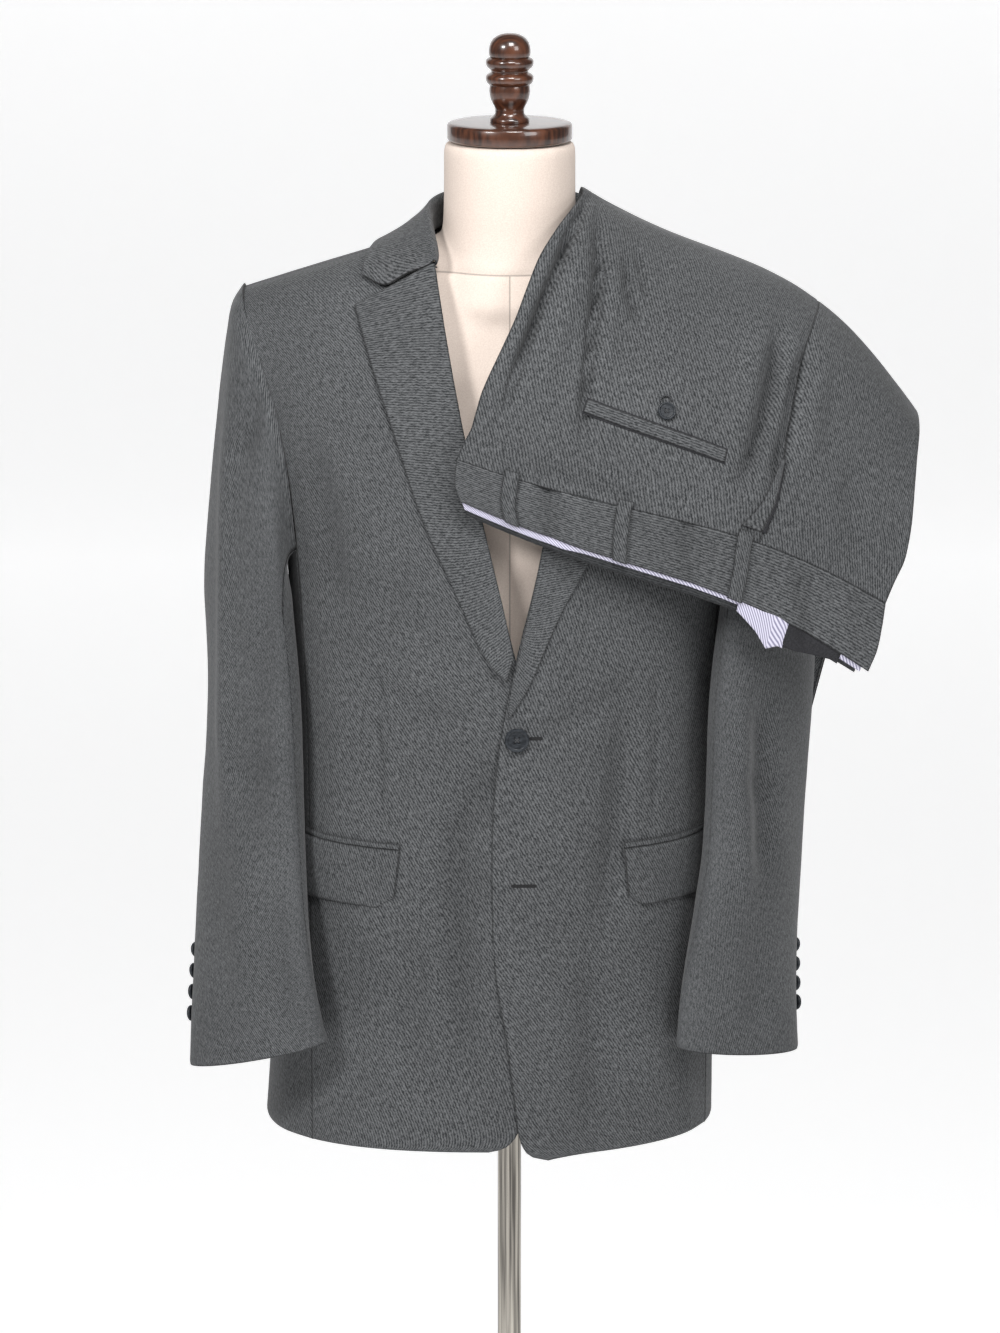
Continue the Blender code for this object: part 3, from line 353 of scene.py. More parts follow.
def node_of(tree, kind, values=None, **settings):
    """A shader node of a kind, with its settings and the values of its inputs."""
    node = tree.nodes.new("ShaderNode" + kind)
    for name, value in settings.items():
        setattr(node, name, value)
    for socket, value in (values or {}).items():
        node.inputs[socket].default_value = value
    return node


def ramp_of(tree, source, output, low_at, low, high_at, high):
    """A ramp that turns a node's output into a colour between two."""
    ramp = node_of(tree, "ValToRGB")
    for element, at, colour in zip(ramp.color_ramp.elements, (low_at, high_at), (low, high)):
        element.position = at
        element.color = (*colour, 1)
    link(tree, source, output, ramp, "Fac")
    return ramp


def darkened(tree, colour, value):
    """The output of a colour that is multiplied by a value, both outputs of other nodes."""
    mix = node_of(tree, "Mix", {"Factor": 1.0}, data_type="RGBA", blend_type="MULTIPLY")
    first, second = [socket for socket in mix.inputs if socket.type == "RGBA"]
    tree.links.new(colour, first)
    tree.links.new(value, second)
    return [socket for socket in mix.outputs if socket.type == "RGBA"][0]


def bumped(tree, source, output, strength, distance):
    """Raises the surface of the tree's shader where a node's output is high."""
    bump = node_of(tree, "Bump", {"Strength": strength, "Distance": distance})
    link(tree, source, output, bump, "Height")
    link(tree, bump, "Normal", tree.nodes["Principled BSDF"], "Normal")


def product(tree, first, first_output, second, second_output):
    node = node_of(tree, "Math", operation="MULTIPLY")
    link(tree, first, first_output, node, 0)
    link(tree, second, second_output, node, 1)
    return node


def worsted_material(name, dark, light):
    """Salt-and-pepper worsted: light and dark yarns in a fine steep twill, with a dry, short nap.

    Twill, yarns and slubs follow the cut of the cloth. Its tone drifts a little over a hand's breadth,
    and painted shade darkens it along the seams and in the deep folds.
    """
    material = plain_material(name, light, 0.85, more={
        "Specular IOR Level": 0.25, "Sheen Weight": 0.12, "Sheen Roughness": 0.5})
    tree = material.node_tree
    cut = node_of(tree, "UVMap", uv_map="cut")
    slope = node_of(tree, "Mapping", {"Rotation": (0, 0, math.radians(-27))})
    link(tree, cut, "UV", slope, "Vector")
    twill = node_of(tree, "TexWave", {"Scale": 142.0, "Distortion": 3.4, "Detail": 2.0, "Detail Scale": 3.0})
    link(tree, slope, "Vector", twill, "Vector")
    along = node_of(tree, "Mapping", {"Scale": (1.0, 0.42, 1.0)})
    link(tree, slope, "Vector", along, "Vector")
    yarn = node_of(tree, "TexNoise", {"Scale": 950.0, "Detail": 1.5, "Roughness": 0.7})
    link(tree, along, "Vector", yarn, "Vector")
    slub = node_of(tree, "TexNoise", {"Scale": 430.0, "Detail": 1.0})
    link(tree, along, "Vector", slub, "Vector")
    yarns = node_of(tree, "Mix", {"Factor": 0.42})
    link(tree, yarn, "Fac", yarns, "A")
    link(tree, slub, "Fac", yarns, "B")
    weave = node_of(tree, "Mix", {"Factor": 0.80})
    link(tree, twill, "Fac", weave, "A")
    link(tree, yarns, "Result", weave, "B")
    ramp = ramp_of(tree, weave, "Result", 0.36, dark, 0.66, light)
    patch = node_of(tree, "TexNoise", {"Scale": 9.0, "Detail": 3.0})
    link(tree, cut, "UV", patch, "Vector")
    tone = node_of(tree, "MapRange", {"From Min": 0.3, "From Max": 0.7, "To Min": 0.90, "To Max": 1.10})
    link(tree, patch, "Fac", tone, "Value")
    # The rim map brings the distance from the edges and the folds' shade; both darken the colour as painted
    # shade.
    rim = node_of(tree, "UVMap", uv_map="rim")
    from_edge = node_of(tree, "SeparateXYZ")
    link(tree, rim, "UV", from_edge, "Vector")
    painted_seam_shade = node_of(tree, "MapRange", {"From Max": SEAM_SHADE_WIDTH * MM, "To Min": 0.30})
    link(tree, from_edge, "X", painted_seam_shade, "Value")
    painted_fold_shade = node_of(tree, "MapRange", {"To Min": 1.0, "To Max": 0.55})
    link(tree, from_edge, "Y", painted_fold_shade, "Value")
    painted_shade = product(tree, painted_seam_shade, "Result", painted_fold_shade, "Result")
    tone_and_painted_shade = product(tree, painted_shade, "Value", tone, "Result")
    colour = darkened(tree, ramp.outputs["Color"], tone_and_painted_shade.outputs["Value"])
    tree.links.new(colour, tree.nodes["Principled BSDF"].inputs["Base Color"])
    bumped(tree, weave, "Result", 0.35, 0.25 * MM)
    return material


WORSTED = worsted_material("grey_worsted", (0.0170, 0.0186, 0.0202), (0.133, 0.137, 0.142))
JACKET_WALL = 2.0 * MM
FRONT_GRID = (9, 18)
RIGHT_FRONT_FOLDS = [
    Fold([(-0.112, 1.170), (-0.111, 1.060), (-0.108, 0.992)], -0.9, 2.5),
    Fold([(-0.006, 1.070), (-0.046, 1.000), (-0.044, 0.900), (-0.038, 0.770)], -4.4, 14),
    Fold([(-0.004, 1.040), (-0.012, 0.980), (-0.008, 0.860)], 2.2, 9),
    Fold([(-0.175, 1.350), (-0.160, 1.270), (-0.150, 1.180)], -3.2, 16),
    Fold([(-0.120, 0.960), (-0.115, 0.860), (-0.105, 0.760)], 1.6, 22),
    Fold([(-0.085, 0.930), (-0.080, 0.850), (-0.070, 0.740)], -1.8, 16),
    Fold([(-0.020, 1.100), (-0.070, 1.110), (-0.130, 1.140)], -1.2, 10),
]
LEFT_FRONT_FOLDS = [
    Fold([(0.126, 1.150), (0.124, 1.050), (0.120, 0.990)], -0.9, 2.5),
    Fold([(0.100, 1.120), (0.094, 1.040), (0.086, 0.960), (0.078, 0.900)], -3.6, 12),
    Fold([(0.070, 0.900), (0.070, 0.800), (0.072, 0.720)], -3.4, 14),
    Fold([(0.014, 1.085), (0.055, 1.105), (0.110, 1.135)], -1.4, 10),
    Fold([(0.020, 1.070), (0.050, 1.020), (0.060, 0.950)], 1.2, 14),
    Fold([(0.120, 0.900), (0.120, 0.820), (0.118, 0.740)], 1.4, 18),
    Fold([(0.165, 1.200), (0.160, 1.100), (0.158, 1.010)], -1.6, 12),
]
sew("jacket_front_right", "front_right", FRONT_GRID, JACKET_WALL, (-0.018, -0.15, 0.718),
    folds=RIGHT_FRONT_FOLDS)
front_left = sew("jacket_front_left", "front_left", FRONT_GRID, JACKET_WALL, (0.033, -0.15, 0.711),
                 folds=LEFT_FRONT_FOLDS)


# The side panels under the arms and the two halves of the back, of the same worsted. The back falls
# plain from the shoulder blades with long soft troughs, and the panels run up under the sleeves.
SIDE_GRID = (6, 9)
BACK_GRID = (8, 16)
UNDER_ARM = (0.3, 0.3, 0.3, 5.0)
for side, word in ((1, "left"), (-1, "right")):
    sew(f"jacket_side_{word}", f"side_{word}", SIDE_GRID, JACKET_WALL, (side * 0.173, -0.07, 0.718), step=6,
        reach=UNDER_ARM, folds=[
            Fold([(-0.02, 1.18), (-0.01, 1.05), (0.0, 0.95)], -1.8, 14, word),
            Fold([(0.04, 0.95), (0.045, 0.85), (0.05, 0.75)], 1.8, 18, word),
        ])
    sew(f"jacket_back_{word}", f"back_{word}", BACK_GRID, JACKET_WALL, (0.0, 0.15, 0.718), step=6,
        folds=[
            Fold([(side * 0.075, 1.38), (side * 0.07, 1.25), (side * 0.055, 1.10)], -2.4, 18, "back"),
            Fold([(side * 0.15, 1.33), (side * 0.145, 1.24), (side * 0.13, 1.13)], -2.8, 16, "back"),
            Fold([(side * 0.02, 1.06), (side * 0.08, 1.04), (side * 0.13, 1.05)], -1.6, 10, "back"),
            Fold([(side * 0.09, 0.98), (side * 0.095, 0.85), (side * 0.10, 0.74)], 2.0, 20, "back"),
            Fold([(side * 0.04, 0.98), (side * 0.04, 0.85), (side * 0.045, 0.74)], -1.8, 16, "back"),
        ])


# The lapels, the facing's worsted that turns back from the roll line and lies on the chest. The grain
# runs across, so the twill shows as fine level lines, and the upper edge runs under the collar.
LAPEL_GRID = (4, 14)
UNDER_COLLAR = (0.3, 0.3, 0.3, 4.0)
sew("lapel_on_right", "lapel_right", LAPEL_GRID, JACKET_WALL, (0.003, -0.155, 1.159), step=4, twill=136,
    folds=[Fold([(-0.028, 1.215), (-0.060, 1.330), (-0.090, 1.430)], 0.8, 12)], wave=0.3, roll=0.9,
    reach=UNDER_COLLAR, rests_on=("jacket_front_right",))
sew("lapel_on_left", "lapel_left", LAPEL_GRID, JACKET_WALL, (0.0, -0.155, 1.120), step=4, twill=98,
    folds=[Fold([(0.028, 1.195), (0.055, 1.300), (0.085, 1.420)], 0.8, 12)], wave=0.3, roll=0.9,
    reach=UNDER_COLLAR, rests_on=("jacket_front_left",))


# The collar, a stand round the neck and a leaf that turns down over the shoulders to the notches.
# The stand's front ends are tucked under the upper corners of the lapels.
COLLAR_GRID = (26, 7)
TIP_ACROSS = 0.0535
TIP_HEIGHT = 1.4780
TIP_REACH = 10 * MM
TIP_OUTWARD, TIP_BACK, TIP_UP = 7.5 * MM, 4.0 * MM, 1.5 * MM
NECK_FRONT = -0.03
collar = sew("jacket_collar", "collar", COLLAR_GRID, JACKET_WALL, (-0.060, -0.060, 1.470), step=4,
             inside=(0, 0, 1.30), twill=57, wave=0.2, roll=0.5, fine_edge=True, reach=(-3.0, -3.0, 0.3, 0.3),
             rests_on=("jacket_back_left", "jacket_back_right"), shadow=0.8)
for vert in collar.data.vertices:
    off = math.hypot(abs(vert.co.x) - TIP_ACROSS, vert.co.z - TIP_HEIGHT) / TIP_REACH
    if vert.co.y < NECK_FRONT:
        tuck = Vector((math.copysign(TIP_OUTWARD, vert.co.x), TIP_BACK, TIP_UP))
        vert.co += tuck * math.exp(-(off**2))


# The sleeves, a top and an under piece each, set in with a rolled head. They hang empty, so they
# flatten fore and aft and break softly at the elbow.
SLEEVE_WALL = 1.6 * MM
TOP_SLEEVE_GRID = (14, 16)
UNDER_SLEEVE_GRID = (6, 16)
INTO_ARMHOLE = (0.3, 0.3, 0.3, 3.5)
RIGHT_SLEEVE_FOLDS = [
    Fold([(-0.216, 1.385), (-0.222, 1.340), (-0.235, 1.310)], -2.6, 9),
    Fold([(-0.240, 1.390), (-0.246, 1.260), (-0.248, 1.120), (-0.250, 0.980)], 3.0, 7),
    Fold([(-0.205, 1.250), (-0.212, 1.150), (-0.222, 1.060), (-0.228, 0.960)], -1.8, 14),
    Fold([(-0.200, 1.060), (-0.225, 1.040), (-0.255, 1.050)], -1.4, 11),
    Fold([(-0.235, 1.000), (-0.232, 0.900), (-0.228, 0.830)], 1.6, 14),
    Fold([(-0.200, 0.960), (-0.198, 0.880), (-0.190, 0.820)], -1.4, 12),
]
LEFT_SLEEVE_FOLDS = [
    Fold([(0.216, 1.385), (0.224, 1.340), (0.236, 1.310)], -2.4, 9),
    Fold([(0.218, 1.120), (0.222, 1.030), (0.224, 0.940)], -3.8, 10),
    Fold([(0.200, 1.110), (0.202, 1.020), (0.206, 0.930)], 2.0, 9),
    Fold([(0.215, 0.920), (0.214, 0.870), (0.216, 0.810)], -1.4, 12),
    Fold([(0.195, 1.050), (0.220, 1.030), (0.245, 1.040)], -1.4, 11),
]
for side, word, folds in ((1, "left", LEFT_SLEEVE_FOLDS), (-1, "right", RIGHT_SLEEVE_FOLDS)):
    axis = (side * 0.225, -0.03, 1.10)
    behind = [
        Fold([(side * 0.235, 1.300), (side * 0.225, 1.180), (side * 0.222, 1.080)], -2.4, 14, "back"),
        Fold([(side * 0.200, 1.060), (side * 0.225, 1.040), (side * 0.250, 1.055)], -2.0, 10, "back"),
        Fold([(side * 0.230, 1.000), (side * 0.228, 0.900), (side * 0.225, 0.830)], 1.6, 14, "back"),
    ]
    sew(f"top_sleeve_of_{word}_arm", f"top_sleeve_{word}", TOP_SLEEVE_GRID, SLEEVE_WALL,
        (side * 0.265, 0.02, 0.80), inside=axis, folds=folds + behind, reach=INTO_ARMHOLE)
    sew(f"under_sleeve_of_{word}_arm", f"under_sleeve_{word}", UNDER_SLEEVE_GRID, SLEEVE_WALL,
        (side * 0.18, -0.12, 0.80), inside=axis, step=6, folds=behind, reach=INTO_ARMHOLE)


# The side pockets: a narrow jet sewn over the mouth and, hanging from under it, a flap with a
# rounded lower front corner, both of the same worsted and pressed flat.
FLAP_GRID = (8, 5)
JET_GRID = (8, 1)
JET_TOP = 0.987
FLAP_FOOT = 0.935
for side, word, front_x in ((1, "left", 0.0985), (-1, "right", -0.0949)):
    jet = sew(f"pocket_jet_{word}", f"jet_{word}", JET_GRID, 1.2 * MM, (front_x, -0.15, JET_TOP), step=3,
              wave=0.1, roll=0.5, inside=(0, 0, 1.0), lift=0.3, carried=True)
    sew(f"pocket_flap_{word}", f"flap_{word}", FLAP_GRID, 1.8 * MM, (front_x, -0.15, FLAP_FOOT), step=3.5,
        wave=0.3, roll=1.0, lift=0.8, rests_on=(f"jacket_front_{word}", f"jacket_side_{word}"), carries=[jet])


# The two buttonholes in the left front, cut through the cloth and worked round with thread, so a
# raised bead of stitches lies about a slit whose dark colour is painted shade.
def noise_colour(material, low, high, scale, stretch=(1, 1, 1), detail=4.0, bump=0.0):
    """Gives a material a mottled or grained colour between two, on the piece's own coordinates."""
    tree = material.node_tree
    place = node_of(tree, "TexCoord")
    slope = node_of(tree, "Mapping", {"Scale": stretch})
    link(tree, place, "Object", slope, "Vector")
    grain = node_of(tree, "TexNoise", {"Scale": scale, "Detail": detail})
    link(tree, slope, "Vector", grain, "Vector")
    ramp = ramp_of(tree, grain, "Fac", 0.34, low, 0.68, high)
    link(tree, ramp, "Color", tree.nodes["Principled BSDF"], "Base Color")
    if bump:
        bumped(tree, grain, "Fac", bump, 0.2 * MM)


Hole = namedtuple("Hole", "word start end height")
HOLES = [Hole("top", 0.0165, 0.0285, 1.088), Hole("lower", 0.0011, 0.0235, 0.9587)]
HOLE_ROUND = 1.5 * MM
HOLE_BEAD = 0.8 * MM
BEAD_HIGH = 0.30 * MM
BEAD_SLOPE = 0.25 * MM
OFF_CLOTH = 0.12 * MM
THREAD = plain_material("buttonhole_thread", (0.035, 0.037, 0.040), 0.7)
noise_colour(THREAD, (0.018, 0.019, 0.022), (0.060, 0.062, 0.066), 2600, bump=0.3)
# The slit is a flat dark face in the cloth's plane: painted shade for the opening.
SLIT_SHADE = plain_material("buttonhole_slit_shade", (0.008, 0.008, 0.009), 0.9)
noise_colour(SLIT_SHADE, (0.005, 0.005, 0.006), (0.014, 0.014, 0.015), 1500)
cloth_tree = BVHTree.FromPolygons([v.co for v in front_left.data.vertices],
                                  [tuple(p.vertices) for p in front_left.data.polygons])
for hole in HOLES:
    bm = bmesh.new()
    bmesh.ops.create_circle(bm, segments=40, radius=HOLE_ROUND, cap_ends=True)
    half = (hole.end - hole.start) / 2 - HOLE_ROUND
    for vert in bm.verts:
        vert.co.x += math.copysign(half, vert.co.x)
    bmesh.ops.inset_region(bm, faces=bm.faces[:], thickness=HOLE_BEAD)
    bead = [face for face in bm.faces if len(face.verts) == 4]
    bmesh.ops.inset_region(bm, faces=bead, thickness=BEAD_SLOPE, depth=BEAD_HIGH)
    for face in bm.faces:
        face.material_index = 1 if len(face.verts) > 4 else 0
    runs = [edge for edge in bm.edges if edge.calc_length() > 2 * half * 0.9]
    bmesh.ops.subdivide_edges(bm, edges=runs, cuts=8, use_grid_fill=True)
    for vert in bm.verts:
        x, z = (hole.start + hole.end) / 2 + vert.co.x, hole.height + vert.co.y
        spot = cloth_tree.ray_cast(Vector((x, -1, z)), Vector((0, 1, 0)))[0]
        vert.co = Vector((x, spot.y - OFF_CLOTH - vert.co.z, z))
    bmesh.ops.recalc_face_normals(bm, faces=bm.faces)
    piece = object_of(f"buttonhole_{hole.word}", bm, [THREAD, SLIT_SHADE])
    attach(piece, "root")


# The trousers, folded in half along the crease and hung over the shoulder: the left leg's back and
# front lie outside, the other layers show only at the edges.
TROUSER_WALL = 1.2 * MM
BACK_LEG_GRID = (9, 24)
FRONT_LEG_GRID = (5, 24)
UNDER_GRID = (14, 24)
SEAT_CREASE = [(0.0498, 1.5074), (0.0290, 1.4636), (0.0086, 1.4152)]
LEG_FOLDS = [
    Fold([(0.0700, 1.5400), *SEAT_CREASE, (-0.006, 1.370)], -4.4, 4.5),
    Fold([(0.0720, 1.5450), *SEAT_CREASE, (-0.004, 1.375)], -1.6, 3.0),
    Fold([(0.066, 1.530), (0.058, 1.480), (0.040, 1.430), (0.022, 1.380)], 2.2, 10),
    Fold([(0.0775, 1.4900), (0.0755, 1.4720), (0.0715, 1.4420)], -1.4, 4.0),
    Fold([(0.0760, 1.5300), (0.0770, 1.4867), (0.0700, 1.4351), (0.0645, 1.3850), (0.0604, 1.3400)],
         -3.6, 5.4),
    Fold([(0.088, 1.510), (0.088, 1.460), (0.080, 1.400)], 2.0, 10),
    Fold([(0.100, 1.490), (0.103, 1.465), (0.110, 1.440)], -2.2, 5),
    Fold([(0.108, 1.500), (0.114, 1.475), (0.120, 1.455)], -1.4, 4),
    Fold([(0.2341, 1.4430), (0.2260, 1.3981), (0.2139, 1.3530), (0.1957, 1.2994)], -4.4, 6.5),
    Fold([(0.214, 1.430), (0.206, 1.390), (0.194, 1.340)], 2.2, 9),
    Fold([(0.2470, 1.430), (0.2390, 1.390), (0.2290, 1.345)], 1.8, 6),
    Fold([(0.2584, 1.4209), (0.2441, 1.3869), (0.2372, 1.3513), (0.224, 1.300)], -4.0, 6),
    Fold([(0.270, 1.410), (0.262, 1.370), (0.255, 1.320)], 2.0, 10),
    Fold([(0.010, 1.330), (0.060, 1.315), (0.110, 1.300)], -1.2, 8),
    Fold([(0.300, 1.330), (0.290, 1.280), (0.300, 1.230)], -1.5, 12),
    Fold([(0.10, 1.40), (0.10, 1.25), (0.09, 1.05), (0.07, 0.80)], -3.0, 14, "back"),
    Fold([(0.17, 1.38), (0.17, 1.25), (0.15, 1.05), (0.13, 0.85)], 2.6, 14, "back"),
    Fold([(0.25, 1.35), (0.24, 1.22), (0.21, 1.05), (0.18, 0.85)], -2.6, 14, "back"),
    Fold([(0.05, 1.42), (0.05, 1.25), (0.04, 1.05)], 2.0, 12, "back"),
]
IN_TROUSERS = (0.15, 0.0, 1.1)
DRAPED = dict(inside=IN_TROUSERS, held="draped", rests_on=("jacket_front_left", "jacket_back_left"))
UNDER_BAND = (0.3, 0.3, 1.2, 0.3)
sew("trouser_back_of_left_leg", "trouser_back_left", BACK_LEG_GRID, TROUSER_WALL, (-0.045, -0.17, 1.335),
    step=5, near=(92, 1.5, 300, 1.8), folds=LEG_FOLDS, roll=0.8, reach=UNDER_BAND, **DRAPED)
sew("trouser_front_of_left_leg", "trouser_front_left", FRONT_LEG_GRID, TROUSER_WALL, (0.22, -0.15, 1.25),
    step=5, near=(60, 2.2, 340, 3.0), folds=LEG_FOLDS, roll=0.8, reach=UNDER_BAND, **DRAPED)
sew("trouser_layers_under", "trouser_under_layers", UNDER_GRID, 3.4 * MM, (-0.045, -0.165, 1.335),
    step=8, folds=LEG_FOLDS, wave=0.0, **DRAPED)


# The waistband, folded in half round the trousers' top with its striped lining inside. It is a
# strip of the worsted cut across the grain, so fine twill lines run along it, and it waves a little.
BAND_GRID = (14, 3)
BAND_FOLDS = [
    Fold([(0.030, 1.340), (0.034, 1.290), (0.036, 1.250)], -2.6, 8),
    Fold([(0.060, 1.330), (0.064, 1.280), (0.066, 1.240)], 1.6, 10),
    Fold([(0.150, 1.290), (0.154, 1.240), (0.156, 1.210)], -1.8, 8),
    Fold([(0.250, 1.235), (0.256, 1.190), (0.258, 1.160)], -2.4, 8),
    Fold([(0.285, 1.220), (0.290, 1.170), (0.290, 1.140)], 1.4, 9),
]
sew("waistband_front_fold", "waistband_left", BAND_GRID, 2.0 * MM, (-0.042, -0.17, 1.2985), step=4,
    folds=BAND_FOLDS, twill=117, roll=1.0, wave=0.4, **DRAPED)
# A darker copy of the worsted: painted shade for the inner half of the band, which hangs in shadow.
SHADED_WORSTED = worsted_material("grey_worsted_painted_shade", (0.007, 0.008, 0.009), (0.050, 0.052, 0.055))
sew("waistband_back_fold", "waistband_right", BAND_GRID, 1.7 * MM, (-0.039, -0.165, 1.285), step=5,
    folds=BAND_FOLDS, twill=117, wave=0.2, reach=(0.0, -4.0, 4.0, 0.0),
    hang=[(0, 0), (180, -1), (320, -4), (385, -6)], material=SHADED_WORSTED, **DRAPED)


def striped_material(name):
    """Smooth lining with fine grey stripes that are woven in."""
    material = plain_material(name, (0.8, 0.8, 0.85), 0.5)
    tree = material.node_tree
    cut = node_of(tree, "UVMap", uv_map="cut")
    wave = node_of(tree, "TexWave", {"Scale": 125.0}, bands_direction="Y")
    link(tree, cut, "UV", wave, "Vector")
    ramp = ramp_of(tree, wave, "Fac", 0.30, (0.25, 0.24, 0.35), 0.55, (0.67, 0.65, 0.77))
    link(tree, ramp, "Color", tree.nodes["Principled BSDF"], "Base Color")
    return material


STRIPES = striped_material("striped_lining")
LINING = dict(folds=BAND_FOLDS, slot="striped_lining", inside=IN_TROUSERS)
LINING_WALL = 0.8 * MM
LINING_AT = (-0.041, -0.168, 1.290)
bunch = sew("waistband_lining_bunched", "waist_lining", BAND_GRID, LINING_WALL, LINING_AT, step=2, wave=1.6,
            material=STRIPES, reach=(-258, -80, 2, -6), twill=40, lift=1.2,
            hang=[(0, 0), (22, 10), (36, 20), (47, 13)], carried=True, **LINING)
# A near-black cloth for dark sheets that stand for shadowed insides of the waist and the pockets: painted
# shade.
SHADE_SHEET = plain_material("dark_painted_shade", (0.016, 0.016, 0.019), 0.9)
noise_colour(SHADE_SHEET, (0.009, 0.009, 0.011), (0.024, 0.024, 0.028), 700, bump=0.2)
# The facing is a dark sheet laid where the open waist is in shade, a painted shade.
facing = sew("waistband_painted_shade_sheet", "waist_lining", BAND_GRID, LINING_WALL, LINING_AT, step=3, wave=0.3,
             material=SHADE_SHEET, reach=(-292, -24, 2, -6), lift=0.7,
             hang=[(0, 14), (30, 10), (66, 0)], carried=True, **LINING)
sew("waistband_lining", "waist_lining", BAND_GRID, LINING_WALL, LINING_AT, step=4, wave=0.3,
    material=STRIPES, reach=(0, 0, 0, -6), twill=40, hang=[(0, 0), (92, 0), (112, -3), (400, -3)],
    carries=[bunch, facing], held="draped", rests_on=("jacket_front_left",), **LINING)


# Belt loops, narrow folded strips that stand across the waistband, and the two trouser pockets: a
# welted one and a slant one whose edge gapes a little. In both mouths lies a dark sheet, a painted shade.
ON_BAND = dict(inside=IN_TROUSERS, held="folded", rests_on=("waistband_front_fold",), step=3, wave=0.2)
LOOP_GRID = (2, 5)
LOOPS_AT = [(-0.01, -0.175, 1.29), (0.09, -0.175, 1.25), (0.19, -0.16, 1.19)]
for i, corner in enumerate(LOOPS_AT, 1):
    sew(f"belt_loop_strip_{i}", f"belt_loop_{i}", LOOP_GRID, 1.6 * MM, corner, roll=1.3, lift=1.4, **ON_BAND)
IN_LEG = dict(inside=IN_TROUSERS, step=3, wave=0.1)
WELT_GRID = (8, 2)
WELT_AT = (0.06, -0.17, 1.37)
SLANT_GRID = (2, 6)
SLANT_AT = (0.20, -0.15, 1.23)
# The mouth pieces are dark sheets under the welt and behind the slant edge: painted shade for the pockets'
# shadowed openings.
mouth_shade = sew("back_pocket_mouth_shade", "back_pocket_welt", WELT_GRID, 1.4 * MM, WELT_AT, roll=0.2, lift=-1.0,
            shell=0.5, material=SHADE_SHEET, reach=(1.2, 1.0, 1.6, 1.2), carried=True, **IN_LEG)
sew("back_pocket_lips", "back_pocket_welt", WELT_GRID, 1.4 * MM, WELT_AT, roll=1.0, lift=0.3, twill=117,
    held="folded", rests_on=("trouser_back_of_left_leg",), carries=[mouth_shade], **IN_LEG)
gape_shade = sew("slant_pocket_mouth_shade", "slant_pocket_facing", SLANT_GRID, 1.0 * MM, SLANT_AT, roll=0.2, lift=-0.5,
           shell=0.4, material=SHADE_SHEET, reach=(2.2, 0.2, 0.6, 1.0), carried=True, **IN_LEG)
sew("slant_pocket_edge", "slant_pocket_facing", SLANT_GRID, 1.0 * MM, SLANT_AT, roll=0.8, lift=0.3,
    held="folded", rests_on=("trouser_front_of_left_leg",), carries=[gape_shade], **IN_LEG)


# Buttons of dark grey horn, turned with a raised rim round a dish, drilled with four holes and
# sewn on with a cross of thread; the lower front button is hidden by the overlap.
def lathe(name, profile, steps, materials, at=(0, 0, 0), axis=(0, 0, 1)):
    """A turned piece from (radius, height) pairs, set at a place with its axis along a direction."""
    bm = bmesh.new()
    verts = [bm.verts.new((radius, 0, height)) for radius, height in profile]
    edges = [bm.edges.new(pair) for pair in zip(verts, verts[1:])]
    bmesh.ops.spin(bm, geom=verts + edges, cent=(0, 0, 0), axis=(0, 0, 1), angle=2 * math.pi, steps=steps,
                   use_merge=True)
    bmesh.ops.remove_doubles(bm, verts=bm.verts, dist=0.001 * MM)
    bmesh.ops.recalc_face_normals(bm, faces=bm.faces)
    turn = Vector((0, 0, 1)).rotation_difference(Vector(axis)).to_matrix().to_4x4()
    bmesh.ops.transform(bm, matrix=Matrix.Translation(at) @ turn, verts=bm.verts)
    return object_of(name, bm, materials)


def facing_of(node, away):
    """The underside's centre and the outward direction of a turned CAD button."""
    points = np.array([v.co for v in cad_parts[node].data.vertices])
    middle = (points.max(0) + points.min(0)) / 2
    flat = np.linalg.svd(points - points.mean(0))[2][2]
    flat = flat if flat @ np.array(away) > 0 else -flat
    low = ((points - middle) @ flat).min()
    return Vector(middle + flat * low), Vector(flat)


HORN = plain_material("dark_horn", (0.035, 0.040, 0.045), 0.36, more={"Specular IOR Level": 0.22})
noise_colour(HORN, (0.012, 0.014, 0.017), (0.042, 0.047, 0.054), 160, (1, 1, 2.5), bump=0.05)
FRONT_BUTTON = 10.5 * MM
POCKET_BUTTON = 7.9 * MM
CUFF_BUTTON = 7.0 * MM
BUTTON_THREAD = plain_material("button_thread", (0.030, 0.032, 0.036), 0.75)
noise_colour(BUTTON_THREAD, (0.018, 0.019, 0.022), (0.060, 0.062, 0.066), 2600, bump=0.3)


